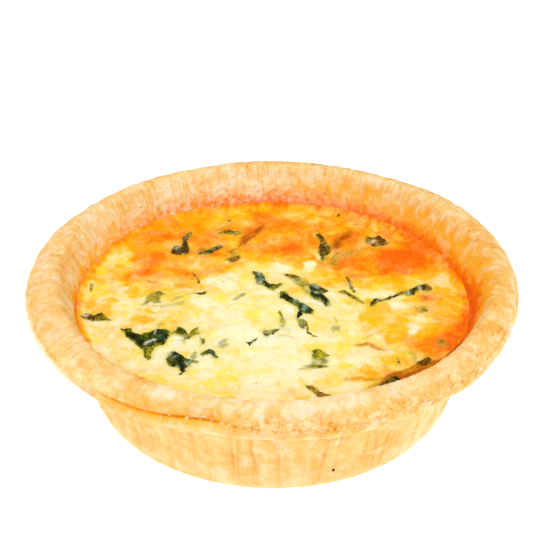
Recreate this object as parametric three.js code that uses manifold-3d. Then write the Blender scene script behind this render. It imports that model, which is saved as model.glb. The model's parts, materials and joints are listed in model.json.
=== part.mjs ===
// Spinach quiche: a small deep shortcrust pastry case with a pressed, folded rim,
// baked full of egg custard, with wilted spinach leaves set in its surface.
// Units: millimetres, +Z up, origin at the centre of the flat underside, -Y is the front.
import * as THREE from "three";
import { mergeVertices } from "three/addons/utils/BufferGeometryUtils.js";
import Module from "manifold-3d";

const wasm = await Module();
wasm.setup();

// ---------- driving dimensions ----------
const RIM_RADIUS = 60.0; // outer edge of the rim
const CASE_HEIGHT = 33.0; // underside to the crest of the rim
const BASE_RADIUS = 44.6; // where the wall meets the base corner
const BASE_CORNER = 2.6; // roundness of the corner between base and wall
const WALL_TOP_RADIUS = 51.2; // outer wall just under the lip
const LIP_BOTTOM_Z = 26.6; // underside of the lower pastry layer of the rim
const CREASE_Z = 29.5; // the fold line between the rim's two layers
const CREST_RADIUS = 54.5; // middle of the rim's rounded crest
const CREST_INNER_RADIUS = 52.9; // inner brow of the crest
const FILL_RADIUS = 48.0; // where the custard meets the case
const FILL_LEVEL = 23.1; // height of the custard at that edge
const FLOOR_THICKNESS = 3.4;
const FLOOR_INNER_RADIUS = 39.4;
const MID_INNER_RADIUS = 44.8; // inside of the wall at MID_INNER_Z
const MID_INNER_Z = 13.0;
const FIT_GAP = 0.3; // case to custard, and custard to leaf
const DOME = 0.9; // rise of the custard at the middle
const MENISCUS = 0.9; // climb of the custard at the wall
const LEAF_SUNK = 0.9;
const LEAF_PROUD = 0.55;

const CASE_SEGMENTS = 96;
const FILL_SEGMENTS = 54;

const deg = (d) => (d * Math.PI) / 180;

// A smooth bump round the rim, 1 at the centre angle and 0 beyond the half width.
function arc(theta, centreDeg, halfDeg) {
  let d = theta - deg(centreDeg);
  d = Math.atan2(Math.sin(d), Math.cos(d));
  const t = Math.abs(d) / deg(halfDeg);
  return t >= 1 ? 0 : 0.5 + 0.5 * Math.cos(Math.PI * t);
}

// Hand-made unevenness of the rim: outward and upward, in mm.
const rimOut = (t) =>
  0.25 * Math.sin(2 * t + 0.6) +
  0.2 * Math.sin(3 * t - 1.0) +
  0.15 * Math.sin(5 * t + 0.4) +
  0.1 * Math.sin(9 * t + 1.3) +
  0.6 * arc(t, 26, 30) -
  0.5 * arc(t, 146, 22) +
  0.4 * arc(t, 180, 34) +
  0.3 * arc(t, 214, 20) +
  0.5 * arc(t, 238, 16) -
  0.8 * arc(t, 306, 18) -
  0.4 * arc(t, 332, 20);
const rimUp = (t) =>
  0.2 * Math.sin(2 * t + 1.9) +
  0.18 * Math.sin(3 * t + 0.2) +
  0.14 * Math.sin(7 * t + 2.7) -
  0.25;
const rimIn = (t) =>
  0.3 * Math.sin(3 * t + 1.1) + 0.26 * Math.sin(4 * t + 2.9);
// The fold line gapes at the front left and is pressed nearly shut elsewhere.
const creaseDepth = (t) => 0.35 + 1.3 * arc(t, 240, 50) + 0.35 * arc(t, 180, 40);
const layerStep = (t) =>
  1.15 + 1.0 * arc(t, 238, 55) + 0.5 * arc(t, 180, 40) - 0.45 * arc(t, 290, 30);
const wallWave = (t) =>
  0.16 * Math.sin(11 * t + 0.7) + 0.12 * Math.sin(17 * t + 2.2);

// ---------- pastry case ----------
// The section of the case at one angle, from the middle of the underside, out and up the
// wall, over the rim and down the inside to the middle of the floor.
function caseSection(t) {
  const out = rimOut(t),
    up = rimUp(t),
    inn = rimIn(t),
    wave = wallWave(t),
    step = layerStep(t),
    crease = creaseDepth(t);
  const R = RIM_RADIUS + out,
    top = CASE_HEIGHT + up;
  const wall = (z) =>
    BASE_RADIUS +
    ((WALL_TOP_RADIUS - BASE_RADIUS) * z) / LIP_BOTTOM_Z +
    wave * Math.sin((Math.PI * z) / LIP_BOTTOM_Z);
  return [
    [BASE_RADIUS - BASE_CORNER, 0],
    [BASE_RADIUS - 0.8, 0.35],
    [wall(2) - 0.15, 2],
    [wall(9), 9],
    [wall(17), 17],
    [wall(23), 23],
    [WALL_TOP_RADIUS + 0.9, LIP_BOTTOM_Z - 0.9 + up * 0.5],
    [WALL_TOP_RADIUS + 4.2, LIP_BOTTOM_Z + up * 0.5],
    [R - 1.0, LIP_BOTTOM_Z + 0.2 + up * 0.5],
    [R, LIP_BOTTOM_Z + 1.1 + up * 0.6],
    [R - 0.25, CREASE_Z - 1.1 + up * 0.7],
    [R - step * 0.6 - 0.3, CREASE_Z - 0.35 + up * 0.8],
    [R - step - 0.5 - crease, CREASE_Z + up * 0.8],
    [R - step - 0.2, CREASE_Z + 0.75 + up],
    [R - step - 1.6, CREASE_Z + 1.95 + up],
    [CREST_RADIUS + inn * 0.5, top - 0.25],
    [CREST_INNER_RADIUS + inn, top - 0.4],
    [CREST_INNER_RADIUS - 1.9 + inn * 0.7, top - 3.4],
    [FILL_RADIUS + 1.4 + inn * 0.4, FILL_LEVEL + 3.0],
    [FILL_RADIUS, FILL_LEVEL - 0.4],
    [MID_INNER_RADIUS, MID_INNER_Z],
    [FLOOR_INNER_RADIUS + 1.6, FLOOR_THICKNESS + 1.6],
    [FLOOR_INNER_RADIUS, FLOOR_THICKNESS],
  ];
}

// A closed body of revolution-like rings: section(t) gives the rings' points, and the
// first and last rings close on the axis at zStart and zEnd.
function ringBody(section, segments, zStart, zEnd) {
  const count = section(0).length;
  const pos = [0, 0, zStart];
  for (let i = 0; i < segments; i++) {
    const t = (2 * Math.PI * i) / segments;
    for (const [r, z] of section(t)) pos.push(r * Math.cos(t), r * Math.sin(t), z);
  }
  pos.push(0, 0, zEnd);
  const at = (i, j) => 1 + (i % segments) * count + j;
  const last = 1 + segments * count;
  const index = [];
  for (let i = 0; i < segments; i++) {
    index.push(0, at(i + 1, 0), at(i, 0));
    for (let j = 0; j + 1 < count; j++) {
      const a = at(i, j),
        b = at(i + 1, j),
        c = at(i + 1, j + 1),
        d = at(i, j + 1);
      index.push(a, b, c, a, c, d);
    }
    index.push(last, at(i, count - 1), at(i + 1, count - 1));
  }
  const g = new THREE.BufferGeometry();
  g.setAttribute("position", new THREE.Float32BufferAttribute(pos, 3));
  g.setIndex(index);
  return g;
}

// ---------- custard ----------
// Height of the custard's top: a low dome, soft lumps, and a climb at the wall.
function custardTop(x, y) {
  const r = Math.hypot(x, y);
  const q = Math.min(1, r / FILL_RADIUS);
  const lumps =
    0.3 * Math.sin(0.13 * x + 0.9) * Math.cos(0.17 * y - 0.4) +
    0.2 * Math.sin(0.29 * x - 0.21 * y + 1.7) +
    0.14 * Math.cos(0.37 * y + 0.16 * x);
  const climb = MENISCUS * Math.pow(Math.max(0, (q - 0.93) / 0.07), 2);
  return (
    FILL_LEVEL - 0.5 + DOME * (1 - q * q) + lumps * Math.min(1, 3 * (1 - q)) + climb
  );
}

function custardSection(t) {
  const c = Math.cos(t),
    s = Math.sin(t);
  const side = FILL_RADIUS - FIT_GAP - 0.05;
  const pts = [
    [FLOOR_INNER_RADIUS - 0.4, FLOOR_THICKNESS + FIT_GAP],
    [FLOOR_INNER_RADIUS + 1.2, FLOOR_THICKNESS + 1.6 + 0.25],
    [MID_INNER_RADIUS - FIT_GAP, MID_INNER_Z],
    [side, FILL_LEVEL - 0.4],
  ];
  for (const q of [1, 0.975, 0.93, 0.84, 0.72, 0.58, 0.44, 0.3, 0.15]) {
    const r = side * q;
    pts.push([r, custardTop(r * c, r * s)]);
  }
  return pts;
}

// ---------- spinach leaves ----------
// A leaf strip follows a curve from p to q, bent by way of m, and is widest at the middle.
// grow widens it all round, for the pocket that it sits in.
function leafStrip({ p, m, q, width, blunt = 0.45 }, grow = 0) {
  const curve = new THREE.QuadraticBezierCurve(
    new THREE.Vector2(...p),
    new THREE.Vector2(...m),
    new THREE.Vector2(...q),
  );
  const stations = 5;
  const pos = [];
  const length = curve.getLength();
  for (let i = 0; i < stations; i++) {
    const u = i / (stations - 1);
    const c = curve.getPoint(u),
      d = curve.getTangent(u);
    c.addScaledVector(d, (u - 0.5) * 2 * grow);
    const shape = blunt + (1 - blunt) * Math.pow(Math.sin(Math.PI * u), 0.8);
    const full = (width / 2) * shape + grow;
    const n = [-d.y, d.x];
    // On the inside of a tight bend the strip stays short of the bend's centre.
    const e = 0.02,
      d0 = curve.getTangent(Math.max(0, u - e)),
      d1 = curve.getTangent(Math.min(1, u + e));
    const turn =
      Math.asin(Math.max(-1, Math.min(1, d0.x * d1.y - d0.y * d1.x))) /
      (curve.getPoint(Math.max(0, u - e)).distanceTo(curve.getPoint(Math.min(1, u + e))) || 1);
    const room = 0.55 / Math.max(1e-6, Math.abs(turn)) + grow;
    const left = turn > 0 ? Math.min(full, room) : full,
      right = turn < 0 ? Math.min(full, room) : full;
    const surface = custardTop(c.x, c.y);
    const low = surface - LEAF_SUNK - grow,
      side = surface + 0.12 + (grow ? 1.2 : 0),
      high = surface + LEAF_PROUD * (0.45 + 0.55 * Math.sin(Math.PI * u)) + (grow ? 1.2 : 0);
    for (const [across, z] of [
      [-0.8, low],
      [0.8, low],
      [1, side],
      [0.42, high],
      [-0.42, high],
      [-1, side],
    ])
    {
      const half = across > 0 ? left : right;
      pos.push(c.x + n[0] * half * across, c.y + n[1] * half * across, z);
    }
  }
  const k = 6,
    index = [];
  for (let i = 0; i + 1 < stations; i++)
    for (let j = 0; j < k; j++) {
      const a = i * k + j,
        b = i * k + ((j + 1) % k);
      index.push(a, b + k, a + k, a, b, b + k);
    }
  for (let j = 1; j + 1 < k; j++) {
    index.push(0, j + 1, j);
    const e = (stations - 1) * k;
    index.push(e, e + j, e + j + 1);
  }
  const g = new THREE.BufferGeometry();
  g.setAttribute("position", new THREE.Float32BufferAttribute(pos, 3));
  g.setIndex(index);
  return solid(g);
}

// Each leaf is one or two joined strips; sizes and places in mm.
const LEAVES = {
  spinach_leaf_01: [
    { p: [-36.8, -12.2], m: [-31.0, -18.8], q: [-24.8, -12.6], width: 6.0, blunt: 0.3 },
    { p: [-30.8, -14.8], m: [-29.8, -19.0], q: [-28.9, -24.8], width: 6.2, blunt: 0.35 },
  ],
  spinach_leaf_02: [
    { p: [-24.0, -12.0], m: [-21.4, -10.6], q: [-17.4, -11.4], width: 2.8 },
    { p: [-20.8, -11.9], m: [-20.2, -13.6], q: [-19.4, -16.0], width: 2.4 },
  ],
  spinach_leaf_03: [
    { p: [-24.6, -23.4], m: [-21.6, -24.8], q: [-17.2, -24.0], width: 5.6 },
    { p: [-22.4, -25.6], m: [-21.9, -28.0], q: [-21.3, -30.7], width: 2.6 },
  ],
  spinach_leaf_04: [
    { p: [-16.6, -23.1], m: [-14.9, -18.8], q: [-12.4, -24.0], width: 2.4 },
  ],
  spinach_leaf_05: [
    { p: [1.6, 4.8], m: [4.6, 0.2], q: [9.9, -4.2], width: 4.2 },
    { p: [8.6, -3.6], m: [7.2, -5.4], q: [6.0, -7.6], width: 2.4 },
  ],
  spinach_leaf_06: [
    { p: [8.9, 7.6], m: [12.4, 3.4], q: [13.7, -1.8], width: 4.4 },
  ],
  spinach_leaf_07: [
    { p: [-5.2, 14.2], m: [-4.4, 6.2], q: [2.7, 6.8], width: 3.4 },
  ],
  spinach_leaf_08: [
    { p: [24.0, -1.6], m: [28.4, 1.4], q: [33.0, 4.6], width: 1.7, blunt: 0.8 },
    { p: [31.8, 3.9], m: [36.0, 7.2], q: [40.2, 6.9], width: 4.0 },
  ],
  spinach_leaf_09: [
    { p: [-26.8, 21.6], m: [-24.2, 21.8], q: [-21.4, 22.6], width: 5.0, blunt: 0.6 },
    { p: [-23.2, 23.0], m: [-23.8, 28.4], q: [-21.0, 32.0], width: 3.0 },
  ],
  spinach_leaf_10: [
    { p: [-18.8, 21.4], m: [-13.0, 24.0], q: [-8.4, 27.8], width: 2.8 },
  ],
  spinach_leaf_11: [
    { p: [11.2, 32.0], m: [13.4, 25.6], q: [14.8, 17.4], width: 4.2 },
  ],
  spinach_leaf_12: [
    { p: [23.4, 27.8], m: [27.8, 32.6], q: [30.6, 26.4], width: 3.8 },
  ],
  spinach_leaf_13: [
    { p: [9.2, -21.4], m: [11.4, -21.6], q: [13.6, -24.2], width: 5.2, blunt: 0.6 },
  ],
  spinach_leaf_14: [
    { p: [7.6, -34.4], m: [9.6, -39.0], q: [14.2, -38.6], width: 2.6 },
  ],
  spinach_leaf_15: [
    { p: [23.2, -36.0], m: [27.6, -33.8], q: [30.6, -30.2], width: 3.4 },
  ],
  spinach_leaf_16: [
    { p: [33.4, -27.0], m: [36.4, -25.6], q: [38.2, -22.4], width: 3.0 },
  ],
  spinach_leaf_17: [
    { p: [-45.0, -7.6], m: [-42.6, -6.6], q: [-39.0, -9.4], width: 2.6 },
  ],
  spinach_leaf_18: [
    { p: [18.4, 10.8], m: [19.6, 5.0], q: [22.8, -0.8], width: 2.2 },
  ],
};

// ---------- solids ----------
function solid(geometry) {
  geometry.deleteAttribute("normal");
  geometry.deleteAttribute("uv");
  const g = mergeVertices(geometry, 1e-4);
  return new wasm.Manifold(
    new wasm.Mesh({
      numProp: 3,
      vertProperties: new Float32Array(g.attributes.position.array),
      triVerts: new Uint32Array(g.index.array),
    }),
  );
}

function geometryOf(manifold) {
  const m = manifold.getMesh();
  const g = new THREE.BufferGeometry();
  g.setAttribute("position", new THREE.BufferAttribute(new Float32Array(m.vertProperties), 3));
  g.setIndex(new THREE.BufferAttribute(new Uint32Array(m.triVerts), 1));
  g.computeVertexNormals();
  return g;
}

const caseGeometry = ringBody(caseSection, CASE_SEGMENTS, 0, FLOOR_THICKNESS);
caseGeometry.computeVertexNormals();

let custard = solid(
  ringBody(custardSection, FILL_SEGMENTS, FLOOR_THICKNESS + FIT_GAP, custardTop(0, 0)),
);
const leaves = {};
for (const [name, strips] of Object.entries(LEAVES)) {
  let leaf = leafStrip(strips[0]);
  for (const strip of strips.slice(1)) leaf = leaf.add(leafStrip(strip));
  for (const strip of strips) custard = custard.subtract(leafStrip(strip, FIT_GAP));
  leaves[name] = leaf;
}

// ---------- scene graph ----------
const pastry = new THREE.MeshStandardMaterial({ color: 0xf0bd7a, roughness: 0.75, metalness: 0 });
const egg = new THREE.MeshStandardMaterial({ color: 0xf6d67a, roughness: 0.4, metalness: 0 });
const spinach = new THREE.MeshStandardMaterial({ color: 0x2f4420, roughness: 0.4, metalness: 0 });

const quiche = new THREE.Group();
quiche.name = "spinach_quiche";

function add(name, geometry, material) {
  const mesh = new THREE.Mesh(geometry, material);
  mesh.name = name;
  quiche.add(mesh);
}

add("pastry_case", caseGeometry, pastry);
add("custard_filling", geometryOf(custard), egg);
for (const [name, leaf] of Object.entries(leaves)) add(name, geometryOf(leaf), spinach);

// The rim is uneven, so its outline is centred on the origin at the end.
const box = new THREE.Box3().setFromObject(quiche);
const shift = box.getCenter(new THREE.Vector3());
quiche.position.set(-shift.x, -shift.y, 0);

export default quiche;
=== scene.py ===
"""Spinach quiche: the looks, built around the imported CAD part. Lengths in this file are in mm
until a mesh is written, when they become metres."""

import bpy
import json
import math
import numpy as np
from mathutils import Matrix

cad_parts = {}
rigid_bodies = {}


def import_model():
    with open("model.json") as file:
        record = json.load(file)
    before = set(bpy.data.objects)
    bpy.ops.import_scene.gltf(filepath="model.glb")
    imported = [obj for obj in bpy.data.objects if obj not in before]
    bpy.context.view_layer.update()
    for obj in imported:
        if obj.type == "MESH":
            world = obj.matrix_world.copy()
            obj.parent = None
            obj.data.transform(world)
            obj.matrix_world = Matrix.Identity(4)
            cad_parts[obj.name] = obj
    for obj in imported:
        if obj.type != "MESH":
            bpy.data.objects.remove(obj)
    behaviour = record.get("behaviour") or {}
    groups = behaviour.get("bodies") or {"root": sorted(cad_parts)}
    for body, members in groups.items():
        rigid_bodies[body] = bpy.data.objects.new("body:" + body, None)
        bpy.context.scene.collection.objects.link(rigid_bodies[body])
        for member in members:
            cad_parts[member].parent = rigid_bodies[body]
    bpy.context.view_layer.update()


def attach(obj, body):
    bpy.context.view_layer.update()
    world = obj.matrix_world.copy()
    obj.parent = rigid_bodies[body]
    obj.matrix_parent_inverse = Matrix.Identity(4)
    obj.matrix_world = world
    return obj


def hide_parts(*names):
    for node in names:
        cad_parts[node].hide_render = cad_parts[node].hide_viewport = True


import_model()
MM = 0.001


# =====================================================================================
# noise and small helpers
# =====================================================================================
def _hash(ix, iy, iz, seed):
    h = (
        ix.astype(np.uint32) * np.uint32(374761393)
        + iy.astype(np.uint32) * np.uint32(668265263)
        + iz.astype(np.uint32) * np.uint32(2246822519)
        + np.uint32((seed * 3266489917) & 0xFFFFFFFF)
    )
    h = (h ^ (h >> np.uint32(15))) * np.uint32(2246822519)
    h = (h ^ (h >> np.uint32(13))) * np.uint32(3266489917)
    return h ^ (h >> np.uint32(16))


def noise(x, y, z=0.0, seed=0):
    """Gradient noise, about -1 to 1."""
    x, y, z = np.broadcast_arrays(
        np.asarray(x, np.float64), np.asarray(y, np.float64), np.asarray(z, np.float64)
    )
    fx, fy, fz = np.floor(x), np.floor(y), np.floor(z)
    ix, iy, iz = fx.astype(np.int64), fy.astype(np.int64), fz.astype(np.int64)
    x, y, z = x - fx, y - fy, z - fz
    u, v, w = (t * t * t * (t * (t * 6 - 15) + 10) for t in (x, y, z))
    out = 0.0
    for dx in (0, 1):
        for dy in (0, 1):
            for dz in (0, 1):
                h = _hash(ix + dx, iy + dy, iz + dz, seed)
                gx = (h & np.uint32(1023)).astype(np.float64) / 511.5 - 1
                gy = ((h >> np.uint32(10)) & np.uint32(1023)).astype(np.float64) / 511.5 - 1
                gz = ((h >> np.uint32(20)) & np.uint32(1023)).astype(np.float64) / 511.5 - 1
                g = gx * (x - dx) + gy * (y - dy) + gz * (z - dz)
                out = out + g * (u if dx else 1 - u) * (v if dy else 1 - v) * (w if dz else 1 - w)
    return out * 1.35


def fbm(x, y, z=0.0, seed=0, octaves=4, gain=0.5):
    total, amp, norm = 0.0, 1.0, 0.0
    for k in range(octaves):
        f = 2.03**k
        total = total + amp * noise(np.asarray(x) * f, np.asarray(y) * f, np.asarray(z) * f, seed + 17 * k)
        norm += amp
        amp *= gain
    return total / norm


def smooth(a, b, x):
    t = np.clip((x - a) / (b - a), 0, 1)
    return t * t * (3 - 2 * t)


def arc(theta, centre_deg, half_deg):
    d = theta - math.radians(centre_deg)
    d = np.arctan2(np.sin(d), np.cos(d))
    t = np.minimum(np.abs(d) / math.radians(half_deg), 1)
    return 0.5 + 0.5 * np.cos(np.pi * t)


def angle_between(theta, centre_deg):
    d = theta - math.radians(centre_deg)
    return np.degrees(np.arctan2(np.sin(d), np.cos(d)))


def blob(x, y, cx, cy, rx, ry, turn=0.0, power=1.0):
    """A soft ellipse, 1 in the middle."""
    c, s = math.cos(math.radians(turn)), math.sin(math.radians(turn))
    u, v = (x - cx) * c + (y - cy) * s, -(x - cx) * s + (y - cy) * c
    return np.exp(-(((u / rx) ** 2 + (v / ry) ** 2) ** power))


def polygon_distance(x, y, poly):
    """Signed distance to a polygon, positive inside."""
    p = np.asarray(poly, float)
    best = np.full(np.shape(x), 1e9)
    inside = np.zeros(np.shape(x), bool)
    for a, b in zip(p, np.roll(p, -1, axis=0)):
        e = b - a
        wx, wy = x - a[0], y - a[1]
        t = np.clip((wx * e[0] + wy * e[1]) / (e @ e + 1e-12), 0, 1)
        best = np.minimum(best, np.hypot(wx - e[0] * t, wy - e[1] * t))
        crosses = ((a[1] > y) != (b[1] > y)) & (
            x < (b[0] - a[0]) * (y - a[1]) / (b[1] - a[1] + 1e-12) + a[0]
        )
        inside ^= crosses
    return np.where(inside, best, -best)


def make_mesh(name, verts_mm, faces, material, attributes=None, smooth_shading=True):
    mesh = bpy.data.meshes.new(name)
    verts = np.asarray(verts_mm, np.float64) * MM
    faces = np.asarray(faces, np.int32)
    k = faces.shape[1]
    mesh.vertices.add(len(verts))
    mesh.vertices.foreach_set("co", verts.astype(np.float32).ravel())
    mesh.loops.add(faces.size)
    mesh.loops.foreach_set("vertex_index", faces.ravel())
    mesh.polygons.add(len(faces))
    mesh.polygons.foreach_set("loop_start", np.arange(0, faces.size, k, dtype=np.int32))
    mesh.polygons.foreach_set("loop_total", np.full(len(faces), k, np.int32))
    mesh.update(calc_edges=True)
    mesh.validate()
    for key, values in (attributes or {}).items():
        a = mesh.attributes.new(key, "FLOAT", "POINT")
        a.data.foreach_set("value", np.asarray(values, np.float32).ravel())
    mesh.polygons.foreach_set("use_smooth", np.full(len(mesh.polygons), smooth_shading))
    mesh.materials.append(material)
    obj = bpy.data.objects.new(name, mesh)
    bpy.context.scene.collection.objects.link(obj)
    return obj


# =====================================================================================
# the CAD's own dimensions and functions
# =====================================================================================
RIM_RADIUS, CASE_HEIGHT = 60.0, 33.0
BASE_RADIUS, BASE_CORNER = 44.6, 2.6
WALL_TOP_RADIUS, LIP_BOTTOM_Z, CREASE_Z = 51.2, 26.6, 29.5
CREST_RADIUS, CREST_INNER_RADIUS = 54.5, 52.9
FILL_RADIUS, FILL_LEVEL = 48.0, 23.1
FLOOR_THICKNESS, FLOOR_INNER_RADIUS = 3.4, 39.4
MID_INNER_RADIUS, MID_INNER_Z = 44.8, 13.0
DOME, MENISCUS = 0.9, 0.9
CAD_SEGMENTS = 96


def rim_out(t):
    return (
        0.25 * np.sin(2 * t + 0.6) + 0.2 * np.sin(3 * t - 1.0) + 0.15 * np.sin(5 * t + 0.4)
        + 0.1 * np.sin(9 * t + 1.3) + 0.6 * arc(t, 26, 30) - 0.5 * arc(t, 146, 22)
        + 0.4 * arc(t, 180, 34) + 0.3 * arc(t, 214, 20) + 0.5 * arc(t, 238, 16)
        - 0.8 * arc(t, 306, 18) - 0.4 * arc(t, 332, 20)
    )


def rim_up(t):
    return 0.2 * np.sin(2 * t + 1.9) + 0.18 * np.sin(3 * t + 0.2) + 0.14 * np.sin(7 * t + 2.7) - 0.25


def rim_in(t):
    return 0.3 * np.sin(3 * t + 1.1) + 0.26 * np.sin(4 * t + 2.9)


def crease_depth(t):
    return 0.35 + 1.3 * arc(t, 240, 50) + 0.35 * arc(t, 180, 40)


def layer_step(t):
    return 1.15 + 1.0 * arc(t, 238, 55) + 0.5 * arc(t, 180, 40) - 0.45 * arc(t, 290, 30)


def wall_wave(t):
    return 0.16 * np.sin(11 * t + 0.7) + 0.12 * np.sin(17 * t + 2.2)


def case_section(t, crease=None, step=None, inn=None):
    """The CAD's section of the case at each angle: (points, angles, 2)."""
    up, wave = rim_up(t), wall_wave(t)
    crease = crease_depth(t) if crease is None else crease
    step = layer_step(t) if step is None else step
    inn = rim_in(t) if inn is None else inn
    rr, top = RIM_RADIUS + rim_out(t), CASE_HEIGHT + up

    def wall(z):
        return (
            BASE_RADIUS + (WALL_TOP_RADIUS - BASE_RADIUS) * z / LIP_BOTTOM_Z
            + wave * math.sin(math.pi * z / LIP_BOTTOM_Z)
        )

    rows = [
        (BASE_RADIUS - BASE_CORNER, 0),
        (BASE_RADIUS - 0.8, 0.35),
        (wall(2) - 0.15, 2),
        (wall(9), 9),
        (wall(17), 17),
        (wall(23), 23),
        (WALL_TOP_RADIUS + 0.9, LIP_BOTTOM_Z - 0.9 + up * 0.5),
        (WALL_TOP_RADIUS + 4.2, LIP_BOTTOM_Z + up * 0.5),
        (rr - 1.0, LIP_BOTTOM_Z + 0.2 + up * 0.5),
        (rr, LIP_BOTTOM_Z + 1.1 + up * 0.6),
        (rr - 0.25, CREASE_Z - 1.1 + up * 0.7),
        (rr - step * 0.6 - 0.3, CREASE_Z - 0.35 + up * 0.8),
        (rr - step - 0.5 - crease, CREASE_Z + up * 0.8),
        (rr - step - 0.2, CREASE_Z + 0.75 + up),
        (rr - step - 1.6, CREASE_Z + 1.95 + up),
        (CREST_RADIUS + inn * 0.5, top - 0.25),
        (CREST_INNER_RADIUS + inn, top - 0.4),
        (CREST_INNER_RADIUS - 1.9 + inn * 0.7, top - 3.4),
        (FILL_RADIUS + 1.4 + inn * 0.4, FILL_LEVEL + 3.0),
        (FILL_RADIUS, FILL_LEVEL - 0.4),
        (MID_INNER_RADIUS, MID_INNER_Z),
        (FLOOR_INNER_RADIUS + 1.6, FLOOR_THICKNESS + 1.6),
        (FLOOR_INNER_RADIUS, FLOOR_THICKNESS),
    ]
    one = np.ones_like(t)
    return np.stack([np.stack([r * one, z * one], -1) for r, z in rows], 0)


def custard_top(x, y):
    r = np.hypot(x, y)
    q = np.minimum(1, r / FILL_RADIUS)
    lumps = (
        0.3 * np.sin(0.13 * x + 0.9) * np.cos(0.17 * y - 0.4)
        + 0.2 * np.sin(0.29 * x - 0.21 * y + 1.7)
        + 0.14 * np.cos(0.37 * y + 0.16 * x)
    )
    climb = MENISCUS * np.maximum(0, (q - 0.93) / 0.07) ** 2
    return FILL_LEVEL - 0.5 + DOME * (1 - q * q) + lumps * np.minimum(1, 3 * (1 - q)) + climb


# The CAD centres the rim's uneven outline on the origin: the same move for every mesh here.
_t = 2 * math.pi * np.arange(CAD_SEGMENTS) / CAD_SEGMENTS
_s = case_section(_t)
_x, _y = _s[..., 0] * np.cos(_t), _s[..., 0] * np.sin(_t)
SHIFT = np.array([-(_x.max() + _x.min()) / 2, -(_y.max() + _y.min()) / 2, 0.0])


def place(xyz):
    return np.asarray(xyz, float) + SHIFT


# =====================================================================================
# node helpers
# =====================================================================================
def srgb(r, g, b):
    def f(c):
        c = c / 255
        return c / 12.92 if c <= 0.04045 else ((c + 0.055) / 1.055) ** 2.4

    return (f(r), f(g), f(b), 1.0)


class Nodes:
    """A little wrapper that keeps node trees readable."""

    def __init__(self, name):
        self.material = bpy.data.materials.new(name)
        self.material.use_nodes = True
        self.tree = self.material.node_tree
        self.tree.nodes.clear()
        self.out = self.tree.nodes.new("ShaderNodeOutputMaterial")
        self.shader = self.tree.nodes.new("ShaderNodeBsdfPrincipled")
        self.tree.links.new(self.shader.outputs["BSDF"], self.out.inputs["Surface"])
        coord = self.tree.nodes.new("ShaderNodeTexCoord")
        self.where = coord.outputs["Object"]

    def link(self, value, socket):
        if isinstance(value, bpy.types.NodeSocket):
            self.tree.links.new(value, socket)
        else:
            socket.default_value = value

    def attribute(self, name):
        n = self.tree.nodes.new("ShaderNodeAttribute")
        n.attribute_name = name
        return n.outputs["Fac"]

    def noise(self, per_metre, detail=3.0, roughness=0.55, stretch=None, distortion=0.0):
        where = self.where
        if stretch:
            m = self.tree.nodes.new("ShaderNodeMapping")
            m.inputs["Scale"].default_value = stretch
            self.tree.links.new(where, m.inputs["Vector"])
            where = m.outputs["Vector"]
        n = self.tree.nodes.new("ShaderNodeTexNoise")
        n.inputs["Scale"].default_value = per_metre
        n.inputs["Detail"].default_value = detail
        n.inputs["Roughness"].default_value = roughness
        n.inputs["Distortion"].default_value = distortion
        self.tree.links.new(where, n.inputs["Vector"])
        return n.outputs["Fac"]

    def vector(self, x, y, z, scale):
        n = self.tree.nodes.new("ShaderNodeCombineXYZ")
        for value, socket in zip((x, y, z), n.inputs):
            self.link(value, socket)
        m = self.tree.nodes.new("ShaderNodeMapping")
        m.inputs["Scale"].default_value = scale
        self.tree.links.new(n.outputs[0], m.inputs["Vector"])
        return m.outputs["Vector"]

    def noise_at(self, where, scale, detail=3.0, roughness=0.55):
        n = self.tree.nodes.new("ShaderNodeTexNoise")
        n.inputs["Scale"].default_value = scale
        n.inputs["Detail"].default_value = detail
        n.inputs["Roughness"].default_value = roughness
        self.tree.links.new(where, n.inputs["Vector"])
        return n.outputs["Fac"]

    def voronoi(self, per_metre, feature="F1"):
        n = self.tree.nodes.new("ShaderNodeTexVoronoi")
        n.feature = feature
        n.inputs["Scale"].default_value = per_metre
        self.tree.links.new(self.where, n.inputs["Vector"])
        return n.outputs["Distance"]

    def math(self, operation, a, b=0.0, clamp=False):
        n = self.tree.nodes.new("ShaderNodeMath")
        n.operation = operation
        n.use_clamp = clamp
        self.link(a, n.inputs[0])
        self.link(b, n.inputs[1])
        return n.outputs[0]

    def remap(self, value, a, b, c=0.0, d=1.0):
        n = self.tree.nodes.new("ShaderNodeMapRange")
        n.interpolation_type = "SMOOTHSTEP"
        self.link(value, n.inputs["Value"])
        for key, v in (("From Min", a), ("From Max", b), ("To Min", c), ("To Max", d)):
            n.inputs[key].default_value = v
        return n.outputs["Result"]

    def ramp(self, value, stops):
        n = self.tree.nodes.new("ShaderNodeValToRGB")
        e = n.color_ramp.elements
        while len(e) > 1:
            e.remove(e[-1])
        e[0].position, e[0].color = stops[0]
        for position, colour in stops[1:]:
            e.new(position).color = colour
        self.link(value, n.inputs["Fac"])
        return n.outputs["Color"]

    def mix(self, factor, a, b, blend="MIX"):
        n = self.tree.nodes.new("ShaderNodeMix")
        n.data_type = "RGBA"
        n.blend_type = blend
        self.link(factor, n.inputs[0])
        self.link(a, n.inputs[6])
        self.link(b, n.inputs[7])
        return n.outputs[2]

    def bump(self, height, strength, distance_mm, normal=None):
        n = self.tree.nodes.new("ShaderNodeBump")
        n.inputs["Strength"].default_value = strength
        n.inputs["Distance"].default_value = distance_mm * MM
        self.link(height, n.inputs["Height"])
        if normal is not None:
            self.tree.links.new(normal, n.inputs["Normal"])
        return n.outputs["Normal"]

    def set(self, **values):
        for key, value in values.items():
            self.link(value, self.shader.inputs[key.replace("_", " ")])


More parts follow.
